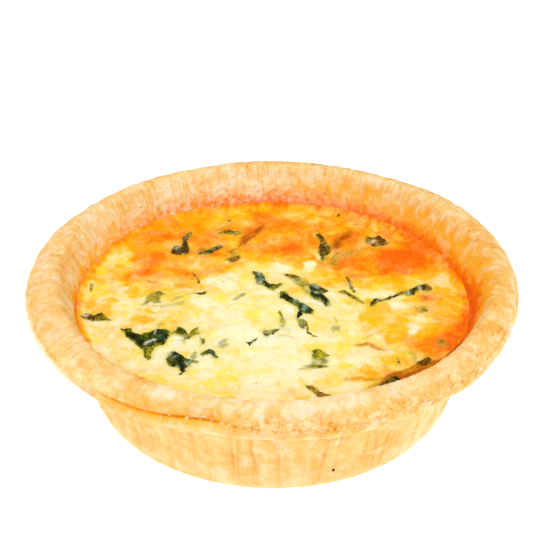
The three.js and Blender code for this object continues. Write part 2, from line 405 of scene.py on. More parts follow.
# =====================================================================================
# camera, light and floor
# =====================================================================================
def make_camera():
    eye = np.array([0.0, -345.634, 255.085])
    aim = np.array([0.399, 6.971, 26.568])
    forward = (aim - eye) / np.linalg.norm(aim - eye)
    right = np.cross(forward, [0, 0, 1])
    right /= np.linalg.norm(right)
    up = np.cross(right, forward)
    roll = math.radians(0.5)
    right2 = right * math.cos(roll) + up * math.sin(roll)
    up2 = up * math.cos(roll) - right * math.sin(roll)
    data = bpy.data.cameras.new("camera")
    data.sensor_fit = "HORIZONTAL"
    data.sensor_width = 36.0
    data.lens = 1684.0 / 550.0 * 36.0
    data.clip_start, data.clip_end = 0.01, 20.0
    obj = bpy.data.objects.new("camera", data)
    bpy.context.scene.collection.objects.link(obj)
    from mathutils import Matrix

    e = (eye + SHIFT) * MM
    obj.matrix_world = Matrix(
        [[right2[k], up2[k], -forward[k], e[k]] for k in range(3)] + [[0, 0, 0, 1]]
    )
    bpy.context.scene.camera = obj


def area_light(name, at_mm, size_mm, watts, colour=(1, 1, 1)):
    from mathutils import Vector

    data = bpy.data.lights.new(name, "AREA")
    data.shape = "RECTANGLE"
    data.size, data.size_y = size_mm[0] * MM, size_mm[1] * MM
    data.energy = watts
    data.color = colour
    obj = bpy.data.objects.new(name, data)
    obj.location = Vector(at_mm) * MM
    obj.rotation_euler = (Vector((0, 0, 15)) * MM - obj.location).to_track_quat("-Z", "Y").to_euler()
    bpy.context.scene.collection.objects.link(obj)


def make_stage():
    world = bpy.data.worlds.new("studio")
    bpy.context.scene.world = world
    world.use_nodes = True
    bg = world.node_tree.nodes["Background"]
    bg.inputs["Color"].default_value = (1, 1, 1, 1)
    bg.inputs["Strength"].default_value = 0.40

    area_light("overhead", (-20, 60, 620), (640, 640), 2.3)
    area_light("front", (40, -640, 360), (560, 400), 1.7)
    area_light("left", (-540, -80, 260), (380, 380), 1.0)
    area_light("right", (540, -80, 260), (380, 380), 1.0)

    n = Nodes("floor_white")
    speckle = n.noise(6.0, 2.0)
    n.set(
        Base_Color=n.ramp(speckle, [(0.0, (0.86, 0.86, 0.86, 1)), (1.0, (0.9, 0.9, 0.9, 1))]),
        Roughness=0.9,
        Specular_IOR_Level=0.1,
        Emission_Color=(1, 1, 1, 1),
        Emission_Strength=0.58,
    )
    size = 4000.0
    floor = make_mesh(
        "floor",
        [(-size, -size, -0.02), (size, -size, -0.02), (size, size, -0.02), (-size, size, -0.02)],
        [[0, 1, 2, 3]],
        n.material,
    )


# =====================================================================================
# pastry case
# =====================================================================================
SEGMENTS = 680
ROWS = [3, 4, 12, 14, 11, 6, 6, 7, 4, 3, 4, 4, 5, 6, 7, 5, 10, 11, 9, 2, 2, 1]


def catmull(c, rows):
    """Centripetal Catmull-Rom through the section's points, with rows steps in each span.
    Returns the points and the section coordinate of each row."""
    n = c.shape[0]
    first, last = 2 * c[0] - c[1], 2 * c[-1] - c[-2]
    first[:, 1] = c[0][:, 1]
    last[:, 1] = c[-1][:, 1]
    ext = np.concatenate([first[None], c, last[None]], 0)
    pts, s = [], []

    def knot(a, b):
        return np.maximum(np.linalg.norm(b - a, axis=-1), 1e-4)[..., None] ** 0.5

    for i in range(n - 1):
        p0, p1, p2, p3 = ext[i : i + 4]
        t1 = knot(p0, p1)
        t2 = t1 + knot(p1, p2)
        t3 = t2 + knot(p2, p3)
        for k in range(rows[i]):
            f = k / rows[i]
            t = t1 + (t2 - t1) * f
            a1 = (t1 - t) / t1 * p0 + t / t1 * p1
            a2 = (t2 - t) / (t2 - t1) * p1 + (t - t1) / (t2 - t1) * p2
            a3 = (t3 - t) / (t3 - t2) * p2 + (t - t2) / (t3 - t2) * p3
            b1 = (t2 - t) / t2 * a1 + t / t2 * a2
            b2 = (t3 - t) / (t3 - t1) * a2 + (t - t1) / (t3 - t1) * a3
            pts.append((t2 - t) / (t2 - t1) * b1 + (t - t1) / (t2 - t1) * b2)
            s.append(i + f)
    pts.append(c[-1])
    s.append(n - 1)
    return np.stack(pts, 0), np.array(s)


# Foil creases on the wall: (angle at the foot, angle at the lip, low z, high z, depth, width).
CREASES = [
    (259.6, 258.4, 6, 22, -0.30, 0.9), (260.2, 261.2, 2, 24, -0.26, 0.7), (262.3, 262.4, 5, 22, 0.24, 0.8),
    (266.2, 263.6, 2, 23, -0.36, 0.9), (268.0, 267.6, 3, 18, 0.20, 1.0), (272.2, 271.0, 1, 23, -0.30, 1.5),
    (276.0, 275.6, 4, 24, 0.24, 1.6), (279.6, 280.4, 3, 16, 0.20, 0.9), (283.6, 286.2, 1, 25, -0.28, 0.8),
    (247.6, 247.2, 3, 22, -0.30, 0.8), (250.4, 249.2, 2, 16, 0.22, 1.2), (242.6, 242.0, 4, 22, -0.26, 0.8),
    (234.6, 233.4, 4, 24, -0.26, 0.8), (238.4, 237.2, 3, 18, 0.2, 1.1), (301.2, 298.4, 2, 25, -0.34, 0.8),
    (303.4, 304.8, 2, 24, -0.34, 0.9), (307.2, 306.4, 4, 22, 0.26, 1.0), (315.2, 318.4, 2, 24, -0.36, 0.8),
    (311.0, 312.2, 5, 20, -0.2, 0.7), (264.4, 265.4, 3, 14, -0.22, 0.5), (274.4, 272.6, 8, 22, -0.2, 0.5), (287.6, 289.2, 6, 23, -0.22, 0.6),
    (296.2, 297.6, 8, 24, -0.24, 0.5), (305.4, 308.2, 10, 24, -0.24, 0.5), (252.4, 251.0, 9, 23, -0.2, 0.5), (240.2, 238.8, 8, 22, -0.22, 0.6), (292.4, 293.6, 3, 15, 0.22, 1.4), (254.6, 253.8, 6, 20, 0.18, 1.2),
]


def front_gape(t):
    """Where the folded edge gapes open, at the front left."""
    deg = np.degrees(t) % 360
    return smooth(224, 234, deg) * (1 - smooth(256, 264, deg))


def look_section(t):
    """The section with what only the finished surface has: the fold gapes at the front left and has
    almost closed elsewhere, and the brow leans in at the front."""
    deg = np.degrees(t) % 360
    left = smooth(150, 175, deg) * (1 - smooth(205, 228, deg))
    gape = front_gape(t)
    rows = case_section(
        t,
        crease=-0.34 + 0.42 * gape + 0.16 * left,
        step=0.80 + 0.60 * gape + 0.12 * left,
        inn=rim_in(t) - 1.2 * arc(t, 268, 75) + 0.8 * arc(t, 306, 24),
    )
    rows[10:14, :, 1] += 0.75 * arc(t, 256, 13) - 0.9 * arc(t, 230, 26)  # the fold runs lower at the left end
    rows[16, :, 1] -= 0.22  # a rounder brow
    return rows


class Skin:
    """The finished pastry surface, for setting small things on it."""

    def __init__(self, theta, s, xyz):
        self.theta, self.s, self.xyz = np.append(theta, 2 * math.pi), s, xyz

    def point(self, deg, s_at):
        n = self.xyz.shape[1]
        c = np.interp(np.radians(deg) % (2 * math.pi), self.theta, np.arange(n + 1))
        r = np.clip(np.interp(s_at, self.s, np.arange(len(self.s))), 0, len(self.s) - 1.001)
        c0, r0 = np.floor(c).astype(int), np.floor(r).astype(int)
        fc, fr = (c - c0)[..., None], (r - r0)[..., None]
        c0, c1 = c0 % n, (c0 + 1) % n
        p = self.xyz
        return (p[r0, c0] * (1 - fc) + p[r0, c1] * fc) * (1 - fr) + (p[r0 + 1, c0] * (1 - fc) + p[r0 + 1, c1] * fc) * fr

    def at(self, deg, s_at):
        p = self.point(deg, s_at)
        u = self.point(deg + 0.8, s_at) - self.point(deg - 0.8, s_at)
        v = self.point(deg, s_at + 0.35) - self.point(deg, s_at - 0.35)
        nn = np.cross(u, v)
        return p, nn / (np.linalg.norm(nn, axis=-1, keepdims=True) + 1e-12)


def crease_relief(theta, z, r):
    rng = np.random.default_rng(41)
    found = list(CREASES)
    for a in np.arange(-38, 228, 3.6):  # the rest of the way round
        a = a + rng.uniform(-1.6, 1.6)
        low = rng.uniform(1, 9)
        found.append((a + rng.normal(0, 1.2), a + rng.normal(0, 1.2), low, low + rng.uniform(9, 20),
                      rng.choice([-1, -1, 1]) * rng.uniform(0.14, 0.36), rng.uniform(0.6, 1.4)))
    out = np.zeros_like(z)
    wander = 0.5 * noise(z * 0.14, theta * 9.0, seed=5)
    for foot, lip, low, high, depth, width in found:
        at = foot + (lip - foot) * np.clip(z / 26.0, 0, 1)
        d = theta - np.radians(at)
        d = np.arctan2(np.sin(d), np.cos(d)) * r + wander
        ends = smooth(low - 1.5, low + 2.5, z) * (1 - smooth(high - 3.5, high + 1.5, z))
        out = out + depth * ends * np.exp(-((d / (0.12 + 0.24 * width)) ** 2))
    return out


# Upturned flake edges on the front of the rim: (angle, section coordinate, half angle, rise).
FLAKES = [(270.8, 14.3, 1.5, 0.15), (274.6, 14.1, 1.3, 0.14), (278.6, 13.7, 1.1, 0.12), (264.6, 13.8, 1.2, 0.10),
          (285.0, 13.7, 1.5, 0.18), (292.5, 13.8, 1.6, 0.16), (301.0, 13.7, 1.6, 0.16), (331.0, 14.1, 1.8, 0.15),
          (12.0, 14.2, 1.8, 0.16), (57.0, 14.0, 1.5, 0.16), (101.0, 14.2, 1.9, 0.15), (138.0, 14.0, 1.6, 0.15),
          (188.0, 14.1, 1.8, 0.15), (221.0, 14.2, 1.6, 0.15)]


def flake_relief(theta, s):
    out = np.zeros_like(theta)
    for a, at, half, rise in FLAKES:
        d = angle_between(theta, a) / half
        edge = at + 0.35 * (1 - d * d)  # an arched edge
        below = smooth(-0.08, 0.03, edge - s) * smooth(1.5, 0.1, edge - s)
        out = out + 0.35 * rise * below * np.clip(1 - d * d, 0, 1)
    return out


def flake_shadow(theta, s):
    """Painted shadow in the gap above each upturned flake."""
    out = np.zeros_like(theta)
    for a, at, half, rise in FLAKES:
        d = angle_between(theta, a) / half
        edge = at + 0.35 * (1 - d * d)
        out = out + 2.2 * rise * np.exp(-(((s - edge - 0.08) / 0.10) ** 2)) * np.clip(1.15 - d * d, 0, 1) * smooth(-0.9, 0.5, d)
    return out


def crumb_list():
    """(angle, section coordinate, size) of each loose crumb."""
    rng = np.random.default_rng(77)
    placed = [(251.5, 11.6, 0.62), (259.2, 11.7, 0.5), (261.0, 12.1, 0.34), (257.0, 12.0, 0.3), (262.6, 10.8, 0.34), (164.5, 18.4, 0.42),
              (305.2, 11.2, 0.4), (299.0, 11.6, 0.34), (293.0, 11.2, 0.4), (270.6, 12.6, 0.4), (276.5, 12.8, 0.36)]
    for _ in range(120):
        a = (290 + rng.normal(0, 25)) if rng.random() < 0.8 else rng.uniform(0, 360)
        placed.append((a, 11.9 + rng.normal(0, 1.1), 0.11 + 0.26 * rng.random() ** 1.6))
    for _ in range(60):
        placed.append((rng.uniform(70, 145), rng.uniform(17.3, 18.9), rng.uniform(0.15, 0.36)))
    return placed


def make_pastry(material):
    # a little closer together at the front, where the edge is crumbly
    steps = np.linspace(0, 2 * math.pi, 4001)
    weight = steps + 0.35 * np.sin(steps - 1.5 * math.pi) - 0.35 * math.sin(-1.5 * math.pi)
    theta = np.interp(2 * math.pi * np.arange(SEGMENTS) / SEGMENTS, weight, steps)
    pts, s = catmull(look_section(theta), ROWS)
    rows = len(s)
    S = np.repeat(s[:, None], SEGMENTS, 1)
    TH = np.repeat(theta[None, :], rows, 0)
    R, Z = pts[..., 0], np.maximum(pts[..., 1], 0)
    X, Y = R * np.cos(TH), R * np.sin(TH)

    # outward normals in the section plane, from the profile itself
    dr, dz = np.gradient(R, axis=0), np.gradient(Z, axis=0)
    length = np.hypot(dr, dz) + 1e-9
    nr, nz = dz / length, -dr / length

    deg = np.degrees(TH) % 360
    wall = smooth(0.8, 1.8, S) * (1 - smooth(5.4, 6.4, S))
    under = smooth(5.6, 6.6, S) * (1 - smooth(7.6, 8.4, S))
    lip = smooth(7.4, 8.2, S) * (1 - smooth(10.0, 10.8, S))
    fold = smooth(9.9, 10.7, S) * (1 - smooth(13.9, 14.7, S))
    top = smooth(13.6, 14.6, S) * (1 - smooth(16.0, 17.0, S))
    inner = smooth(15.4, 16.6, S) * (1 - smooth(18.9, 19.4, S))
    visible = smooth(0.6, 1.6, S) * (1 - smooth(19.2, 19.8, S))
    front = smooth(252, 266, deg) * (1 - smooth(338, 356, deg))
    gape = front_gape(TH)
    crumbly = fold * (0.25 + 0.75 * front) * (1 - 0.5 * gape) + 0.25 * lip
    lined = 1 - smooth(232, 250, deg) * (1 - smooth(335, 352, deg))  # where the rim is striated

    lumps = fbm(X / 6.5, Y / 6.5, Z / 6.5, seed=3, octaves=3)
    knobs = fbm(X / 2.3, Y / 2.3, Z / 2.3, seed=7, octaves=2)
    grain = noise(X / 1.15, Y / 1.15, Z / 1.15, seed=9)

    def across(period, along, seed, bend=0.0):
        """Noise in lines that run across the rim."""
        k = 54.0 / period
        a = TH + bend * (S - 15.0) ** 2 + 0.012 * lumps
        return noise(np.cos(a) * k, np.sin(a) * k, S * along + 0.37 * seed, seed=seed)

    stripe = across(1.35, 0.40, 23, 0.0022) + 0.6 * across(0.8, 0.55, 29, 0.0022)
    crumbs = fbm(X / 1.0, Y / 1.0, Z / 1.0, seed=31, octaves=2)
    pits = np.clip(noise(X / 1.3, Y / 1.3, Z / 1.3, seed=37) - 0.36, 0, 1)
    creases = crease_relief(TH, Z, R)

    d = visible * (0.20 * lumps + 0.10 * knobs + 0.04 * grain)
    d = d + wall * (creases + 0.12 * across(2.2, 0.5, 43) + 0.07 * across(1.1, 0.7, 44))
    d = d + (inner * 0.17 + top * lined * 0.11 + fold * lined * 0.05) * stripe * (1 - smooth(18.4, 19.0, S))
    d = d + crumbly * (0.36 * crumbs + 0.12 * knobs - 0.6 * pits) + 0.09 * top * (1 - lined) * crumbs
    d = d + lip * (0.16 * across(3.4, 0.3, 47) + 0.10 * across(1.3, 0.4, 53)) + fold * 0.15 * across(2.4, 0.3, 59)
    d = d + flake_relief(TH, S)
    # the bubbled, glazed belt above the custard at the back
    belt = smooth(16.9, 17.6, S) * (1 - smooth(18.7, 19.1, S)) * np.clip(arc(TH, 108, 56) * 1.5, 0, 1)
    bubbles = np.abs(noise(X / 1.5, Y / 1.5, Z / 1.5, seed=61))
    d = d + belt * (0.60 * (0.42 - bubbles))
    d = d * (Z > 0.05)

    R2, Z2 = R + nr * d, Z + nz * d
    # the foot stays on the floor
    Z2 = np.where(S <= 0.01, 0.0, np.maximum(Z2, 0.0))
    X2, Y2 = R2 * np.cos(TH), R2 * np.sin(TH)

    # ---- masks for the colours ----
    tone = 0.40 + 0.20 * lumps + 0.14 * knobs
    tone = tone + top * (0.26 * arc(TH, 4, 44) + 0.10 * arc(TH, 214, 24) + 0.06 * arc(TH, 332, 22) - 0.20 * arc(TH, 274, 50) + 0.06 * arc(TH, 238, 18) + 0.02 * arc(TH, 325, 30) + 0.07 * arc(TH, 92, 56) + 0.03 * arc(TH, 180, 50) - 0.06 * arc(TH, 270, 12) - 0.07 * stripe * lined)
    # the lip is much paler at its left end: painted light, the glow of the bright surroundings on that edge
    tone = tone + lip * (0.05 + - 0.03 * arc(TH, 236, 16) + 0.13 * arc(TH, 308, 28) - 0.60 * arc(TH, 208, 26) - 0.2 * arc(TH, 340, 26))
    tone = tone + fold * (0.01 + 0.07 * arc(TH, 306, 24) + 0.17 * arc(TH, 243, 22) + 0.09 * arc(TH, 180, 60) + 0.14 * arc(TH, 262, 12) + 0.02 * arc(TH, 280, 20))
    # darker in the pits of the crumbly band, a painted shade, and paler where its crumbs stand up
    tone = tone + crumbly * (0.6 * pits - 0.42 * crumbs) - 0.22 * top * (1 - lined) * crumbs
    # on the wall: paler towards the foot, a little darker at the top, and painted shade in the grooves of the foil
    # creases with a painted highlight on their ridges
    tone = tone + wall * (
        0.14 + 0.06 * arc(TH, 299, 15) - 0.36 * arc(TH, 322, 16) - 0.03 * arc(TH, 243, 14)
        - 0.20 * smooth(8.5, 1.5, Z) + 0.05 * smooth(19, 24, Z)
        - 0.60 * np.minimum(creases, 0) - 0.55 * np.maximum(creases, 0) - 0.04 * across(2.2, 0.5, 43) - 0.05 * arc(TH, 258, 8)
    )
    tone = tone + inner * (-0.02 - 0.12 * arc(TH, 96, 62) + 0.10 * arc(TH, 182, 46) + 0.11 * stripe) + 0.10 * under
    tone = tone + 0.22 * arc(TH, 268, 40) * np.exp(-(((S - 17.0) / 0.9) ** 2))
    tone = tone + 0.42 * arc(TH, 312, 22) * np.exp(-(((S - 16.7) / 0.8) ** 2))  # browned brow beside the loose skin
    # the lip's lower edge, with a painted highlight along it and a painted shadow line under it, and the golden band
    # along the fold
    tone = tone + arc(TH, 292, 60) * (0.42 * np.exp(-(((S - 7.6) / 0.45) ** 2)) - 0.20 * np.exp(-(((S - 8.9) / 0.4) ** 2)))
    tone = tone + 0.26 * arc(TH, 246, 24) * np.exp(-(((S - 12.8) / 0.7) ** 2)) + 0.16 * arc(TH, 256, 22) * np.exp(-(((S - 10.2) / 0.9) ** 2))
    tone = tone + 0.12 * arc(TH, 300, 22) * smooth(17, 23, Z) * wall

    up_wall = (S - 16.2) / (18.95 - 16.2)  # 0 at the brow, 1 at the custard
    reach = 0.10 + 0.96 * arc(TH, -3, 54) + 0.50 * arc(TH, 50, 44) + 0.11 * arc(TH, 44, 26) + 0.34 * arc(TH, 74, 26) + 0.26 * arc(TH, 108, 60) + 0.26 * arc(TH, 156, 40) + 0.14 * arc(TH, 194, 36)
    edge = 1.0 - reach - (0.34 * across(1.4, 0.25, 71) + 0.22 * across(3.4, 0.2, 73) + 0.12 * knobs) * np.clip(0.55 + reach, 0, 1)
    soft = 0.05 + 0.17 * smooth(0.2, 0.7, reach)
    stain = smooth(edge - soft, edge + soft, up_wall) * smooth(14.6, 15.6, S)
    # patchy round the back, even at the right
    patchy = np.clip(-0.04 + 1.0 * arc(TH, 112, 92), 0, 1)
    mottle = np.clip(0.60 + 1.9 * fbm(X / 1.9, Y / 1.9, Z / 1.9, seed=81, octaves=3) + 0.34 * stripe, 0, 1)
    stain = np.clip(1.4 * stain, 0, 1) * (1 - patchy * (1 - mottle))
    deep = smooth(0.25, 1.05, up_wall + 0.28 * arc(TH, -16, 46) + 0.16 * arc(TH, -6, 22) - 0.20 + 0.14 * knobs - 0.16 * arc(TH, 150, 50))
    pink = smooth(0.44, 0.74, up_wall + 0.14 * lumps + 0.16 * knobs) * np.clip(arc(TH, 110, 56) * 1.6, 0, 1) * (S < 19.3)

    # painted shade in the fold: a deeper orange where the folded edge gapes at the front left, along the fold line at
    # the front, and in the gaps above the flakes
    crevice_shade = 1.25 * gape * np.exp(-(((S - 11.9) / 0.66) ** 2)) + 0.72 * gape * np.exp(-(((S - 10.7) / (0.50 + 0.75 * arc(TH, 252, 15))) ** 2)) * (0.85 + 0.5 * across(2.6, 0.3, 91))
    crevice_shade = crevice_shade + 0.80 * front * np.exp(-(((S - 11.9 - 0.5 * across(4.0, 0.1, 89)) / 0.32) ** 2)) * smooth(-0.35, 0.15, across(2.0, 0.1, 97))
    crevice_shade = crevice_shade * (0.85 + 0.35 * across(2.0, 0.3, 93)) + flake_shadow(TH, S)
    # a painted shadow round each loose crumb on the edge
    for a, s_at, size in crumb_list():
        if s_at < 15:
            c = np.nonzero(angle_between(theta, a) ** 2 < 1.4**2)[0]
            r = np.nonzero(np.abs(s - s_at) < 1.2)[0]
            da = angle_between(theta[c], a)[None, :]
            ds = (s[r] - s_at - 0.10)[:, None]
            crumb_shadow = 0.16 * np.exp(-((da / (0.25 + 0.9 * size)) ** 2) - (ds / (0.12 + 0.7 * size)) ** 2)
            tone[np.ix_(r, c)] += crumb_shadow

    verts = np.stack([X2, Y2, Z2], -1).reshape(-1, 3)
    a = np.arange(rows - 1)[:, None] * SEGMENTS + np.arange(SEGMENTS)[None, :]
    b = np.arange(rows - 1)[:, None] * SEGMENTS + (np.arange(SEGMENTS)[None, :] + 1) % SEGMENTS
    quads = np.stack([a, b, b + SEGMENTS, a + SEGMENTS], -1).reshape(-1, 4)
    # a rosy bloom on the outer edge round the back and the left
    pink = np.maximum(pink, 0.55 * np.exp(-(((S - 14.0) / 0.9) ** 2)) * np.clip(1.3 * arc(TH, 140, 84), 0, 1) * np.clip(0.7 + 1.2 * lumps, 0, 1))
    masks = {
        "tone": tone, "calm": wall, "stain": stain, "deep": deep, "pink": pink, "crevice_shade": crevice_shade,
        "crumbly": crumbly, "lined": np.clip(wall * 0.22 + inner * 0.9 + top * lined * 0.8, 0, 1),
        "ax": np.cos(TH), "ay": np.sin(TH), "al": S,
    }
    masks = {k: np.broadcast_to(v, X.shape).reshape(-1) for k, v in masks.items()}
    skin = Skin(theta, s, np.stack([X2, Y2, Z2], -1))

    # the underside and the floor under the custard, closed by rings that shrink to a small disc
    def cap(ring_start, radii, z):
        nonlocal verts, quads, masks
        previous = ring_start + np.arange(SEGMENTS)
        rr = np.hypot(verts[previous, 0], verts[previous, 1])
        for f in radii:
            ring = np.stack([np.cos(theta) * rr * f, np.sin(theta) * rr * f, np.full(SEGMENTS, z)], -1)
            start = len(verts)
            verts = np.concatenate([verts, ring])
            now = start + np.arange(SEGMENTS)
            q = np.stack([previous, np.roll(previous, -1), np.roll(now, -1), now], -1)
            quads = np.concatenate([quads, q if z > 1 else q[:, ::-1]])
            extra = {"tone": 0.45 + 0.25 * fbm(ring[:, 0] / 9, ring[:, 1] / 9, seed=91, octaves=3),
                     "ax": ring[:, 0] / 54.0, "ay": ring[:, 1] / 54.0}
            for k in masks:
                masks[k] = np.concatenate([masks[k], extra.get(k, np.zeros(SEGMENTS))])
            previous = now
        return previous

    inner_end = cap((rows - 1) * SEGMENTS, (0.6, 0.2), FLOOR_THICKNESS)
    under_end = cap(0, (0.93, 0.84, 0.7, 0.5, 0.28, 0.1), 0.0)
    closing = []
    for ring, flip in ((inner_end, False), (under_end, True)):
        for k in range(1, SEGMENTS - 2, 2):
            q = [ring[0], ring[k], ring[k + 1], ring[k + 2]]
            closing.append(q[::-1] if flip else q)
    quads = np.concatenate([quads, np.array(closing)])
    return make_mesh("pastry", place(verts), quads, material, masks), skin


def pastry_material():
    n = Nodes("baked_pastry")
    tone, stain, deep, pink = (n.attribute(k) for k in ("tone", "stain", "deep", "pink"))
    crevice_shade, crumbly, lined = (n.attribute(k) for k in ("crevice_shade", "crumbly", "lined"))
    grain = n.noise(1250.0, 4.0, 0.62)
    mottle = n.noise(430.0, 3.0, 0.6)
    fine = n.noise(3200.0, 2.0, 0.6)
    lines = n.noise_at(n.vector(n.attribute("ax"), n.attribute("ay"), n.attribute("al"), (70.0, 70.0, 0.45)), 1.0, 3.0, 0.6)

    def about(value, amount):
        return n.math("MULTIPLY", n.math("SUBTRACT", value, 0.5), amount)

    blots = n.noise(240.0, 3.0, 0.62)
    spread = n.math("ADD", about(mottle, 0.80), about(n.noise(190.0, 3.0, 0.62), 1.0))
    spread = n.math("ADD", spread, n.math("ADD", about(grain, 0.38), about(fine, 0.08)))
    level = n.math("ADD", tone, n.math("MULTIPLY", spread, n.math("SUBTRACT", 1.0, n.math("MULTIPLY", n.attribute("calm"), 0.30))))
    level = n.math("ADD", level, n.math("MULTIPLY", about(lines, 1.25), lined))
    base = n.ramp(level, [
        (0.02, srgb(247, 228, 192)),
        (0.24, srgb(246, 214, 156)),
        (0.44, srgb(244, 199, 128)),
        (0.64, srgb(242, 184, 98)),
        (0.84, srgb(238, 160, 62)),
        (1.0, srgb(226, 134, 32)),
    ])
    orange = n.ramp(n.math("ADD", deep, about(grain, 0.9)), [
        (0.08, srgb(250, 178, 52)), (0.36, srgb(248, 142, 2)), (0.7, srgb(243, 106, 0)), (1.0, srgb(234, 92, 0)),
    ])
    base = n.mix(n.math("MULTIPLY", n.attribute("calm"), 0.12), base, srgb(250, 202, 170))
    # lighter and darker blots in the browned glaze
    orange = n.mix(n.remap(blots, 0.52, 0.66, 0.0, 0.6), orange, n.ramp(deep, [(0.1, srgb(250, 200, 120)), (0.5, srgb(250, 172, 78)), (1.0, srgb(246, 142, 40))]))
    orange = n.mix(n.remap(blots, 0.46, 0.34, 0.0, 0.5), orange, n.ramp(deep, [(0.1, srgb(246, 152, 10)), (0.5, srgb(240, 112, 0)), (1.0, srgb(226, 84, 0))]))
    base = n.mix(n.math("MULTIPLY", stain, 1.0, clamp=True), base, orange)
    base = n.mix(n.math("MULTIPLY", n.remap(blots, 0.53, 0.66, 0.0, 0.55), n.math("SUBTRACT", 1.0, n.math("MULTIPLY", stain, 0.8)), clamp=True), base, srgb(250, 218, 182))
    base = n.mix(n.math("MULTIPLY", n.remap(blots, 0.47, 0.36, 0.0, 0.40), n.math("SUBTRACT", 1.0, n.math("MULTIPLY", stain, 0.8)), clamp=True), base, srgb(244, 184, 84))
    blister = n.voronoi(620.0)
    rosy = n.ramp(n.math("ADD", blister, about(grain, 0.9)), [
        (0.08, srgb(240, 124, 44)), (0.28, srgb(246, 158, 84)), (0.46, srgb(249, 194, 140)), (0.62, srgb(251, 216, 178)),
    ])
    base = n.mix(n.math("MULTIPLY", pink, n.remap(mottle, 0.34, 0.6, 0.4, 0.9), clamp=True), base, rosy)
    base = n.mix(n.math("MULTIPLY", n.math("MULTIPLY", stain, pink), 0.75, clamp=True), base, orange)
    # the painted shade of the fold, flakes and flake undersides: a deeper orange
    base = n.mix(n.math("MULTIPLY", crevice_shade, 0.95, clamp=True), base, n.ramp(n.math("MULTIPLY", crevice_shade, 0.6), [(0.12, srgb(250, 202, 92)), (0.34, srgb(250, 188, 36)), (0.56, srgb(249, 172, 4)), (0.76, srgb(236, 136, 0))]))
    # small pores on the crumbly band, sunk a little in the bump and darkened with painted shade
    shaded_pores = n.remap(n.voronoi(1000.0), 0.12, 0.26, 1.0, 0.0)
    shaded_pores = n.math("MULTIPLY", shaded_pores, n.remap(mottle, 0.44, 0.6))
    base = n.mix(n.math("MULTIPLY", shaded_pores, n.math("MULTIPLY", crumbly, 0.7), clamp=True), base, srgb(214, 132, 40))
    height = n.math("ADD", grain, n.math("MULTIPLY", fine, 0.35))
    height = n.math("ADD", height, n.math("MULTIPLY", mottle, 0.9))
    height = n.math("ADD", height, n.math("MULTIPLY", n.math("MULTIPLY", lines, 0.9), lined))
    height = n.math("SUBTRACT", height, n.math("MULTIPLY", shaded_pores, n.math("MULTIPLY", crumbly, 0.5)))
    n.set(
        Base_Color=base,
        Roughness=n.math("SUBTRACT", 0.72, n.math("MULTIPLY", n.math("ADD", stain, pink), 0.12)),
        Specular_IOR_Level=0.035,
        Subsurface_Weight=0.08,
        Subsurface_Radius=(1.0, 0.6, 0.3),
        Subsurface_Scale=0.0012,
        Normal=n.bump(height, 0.85, 0.55),
    )
    return n.material


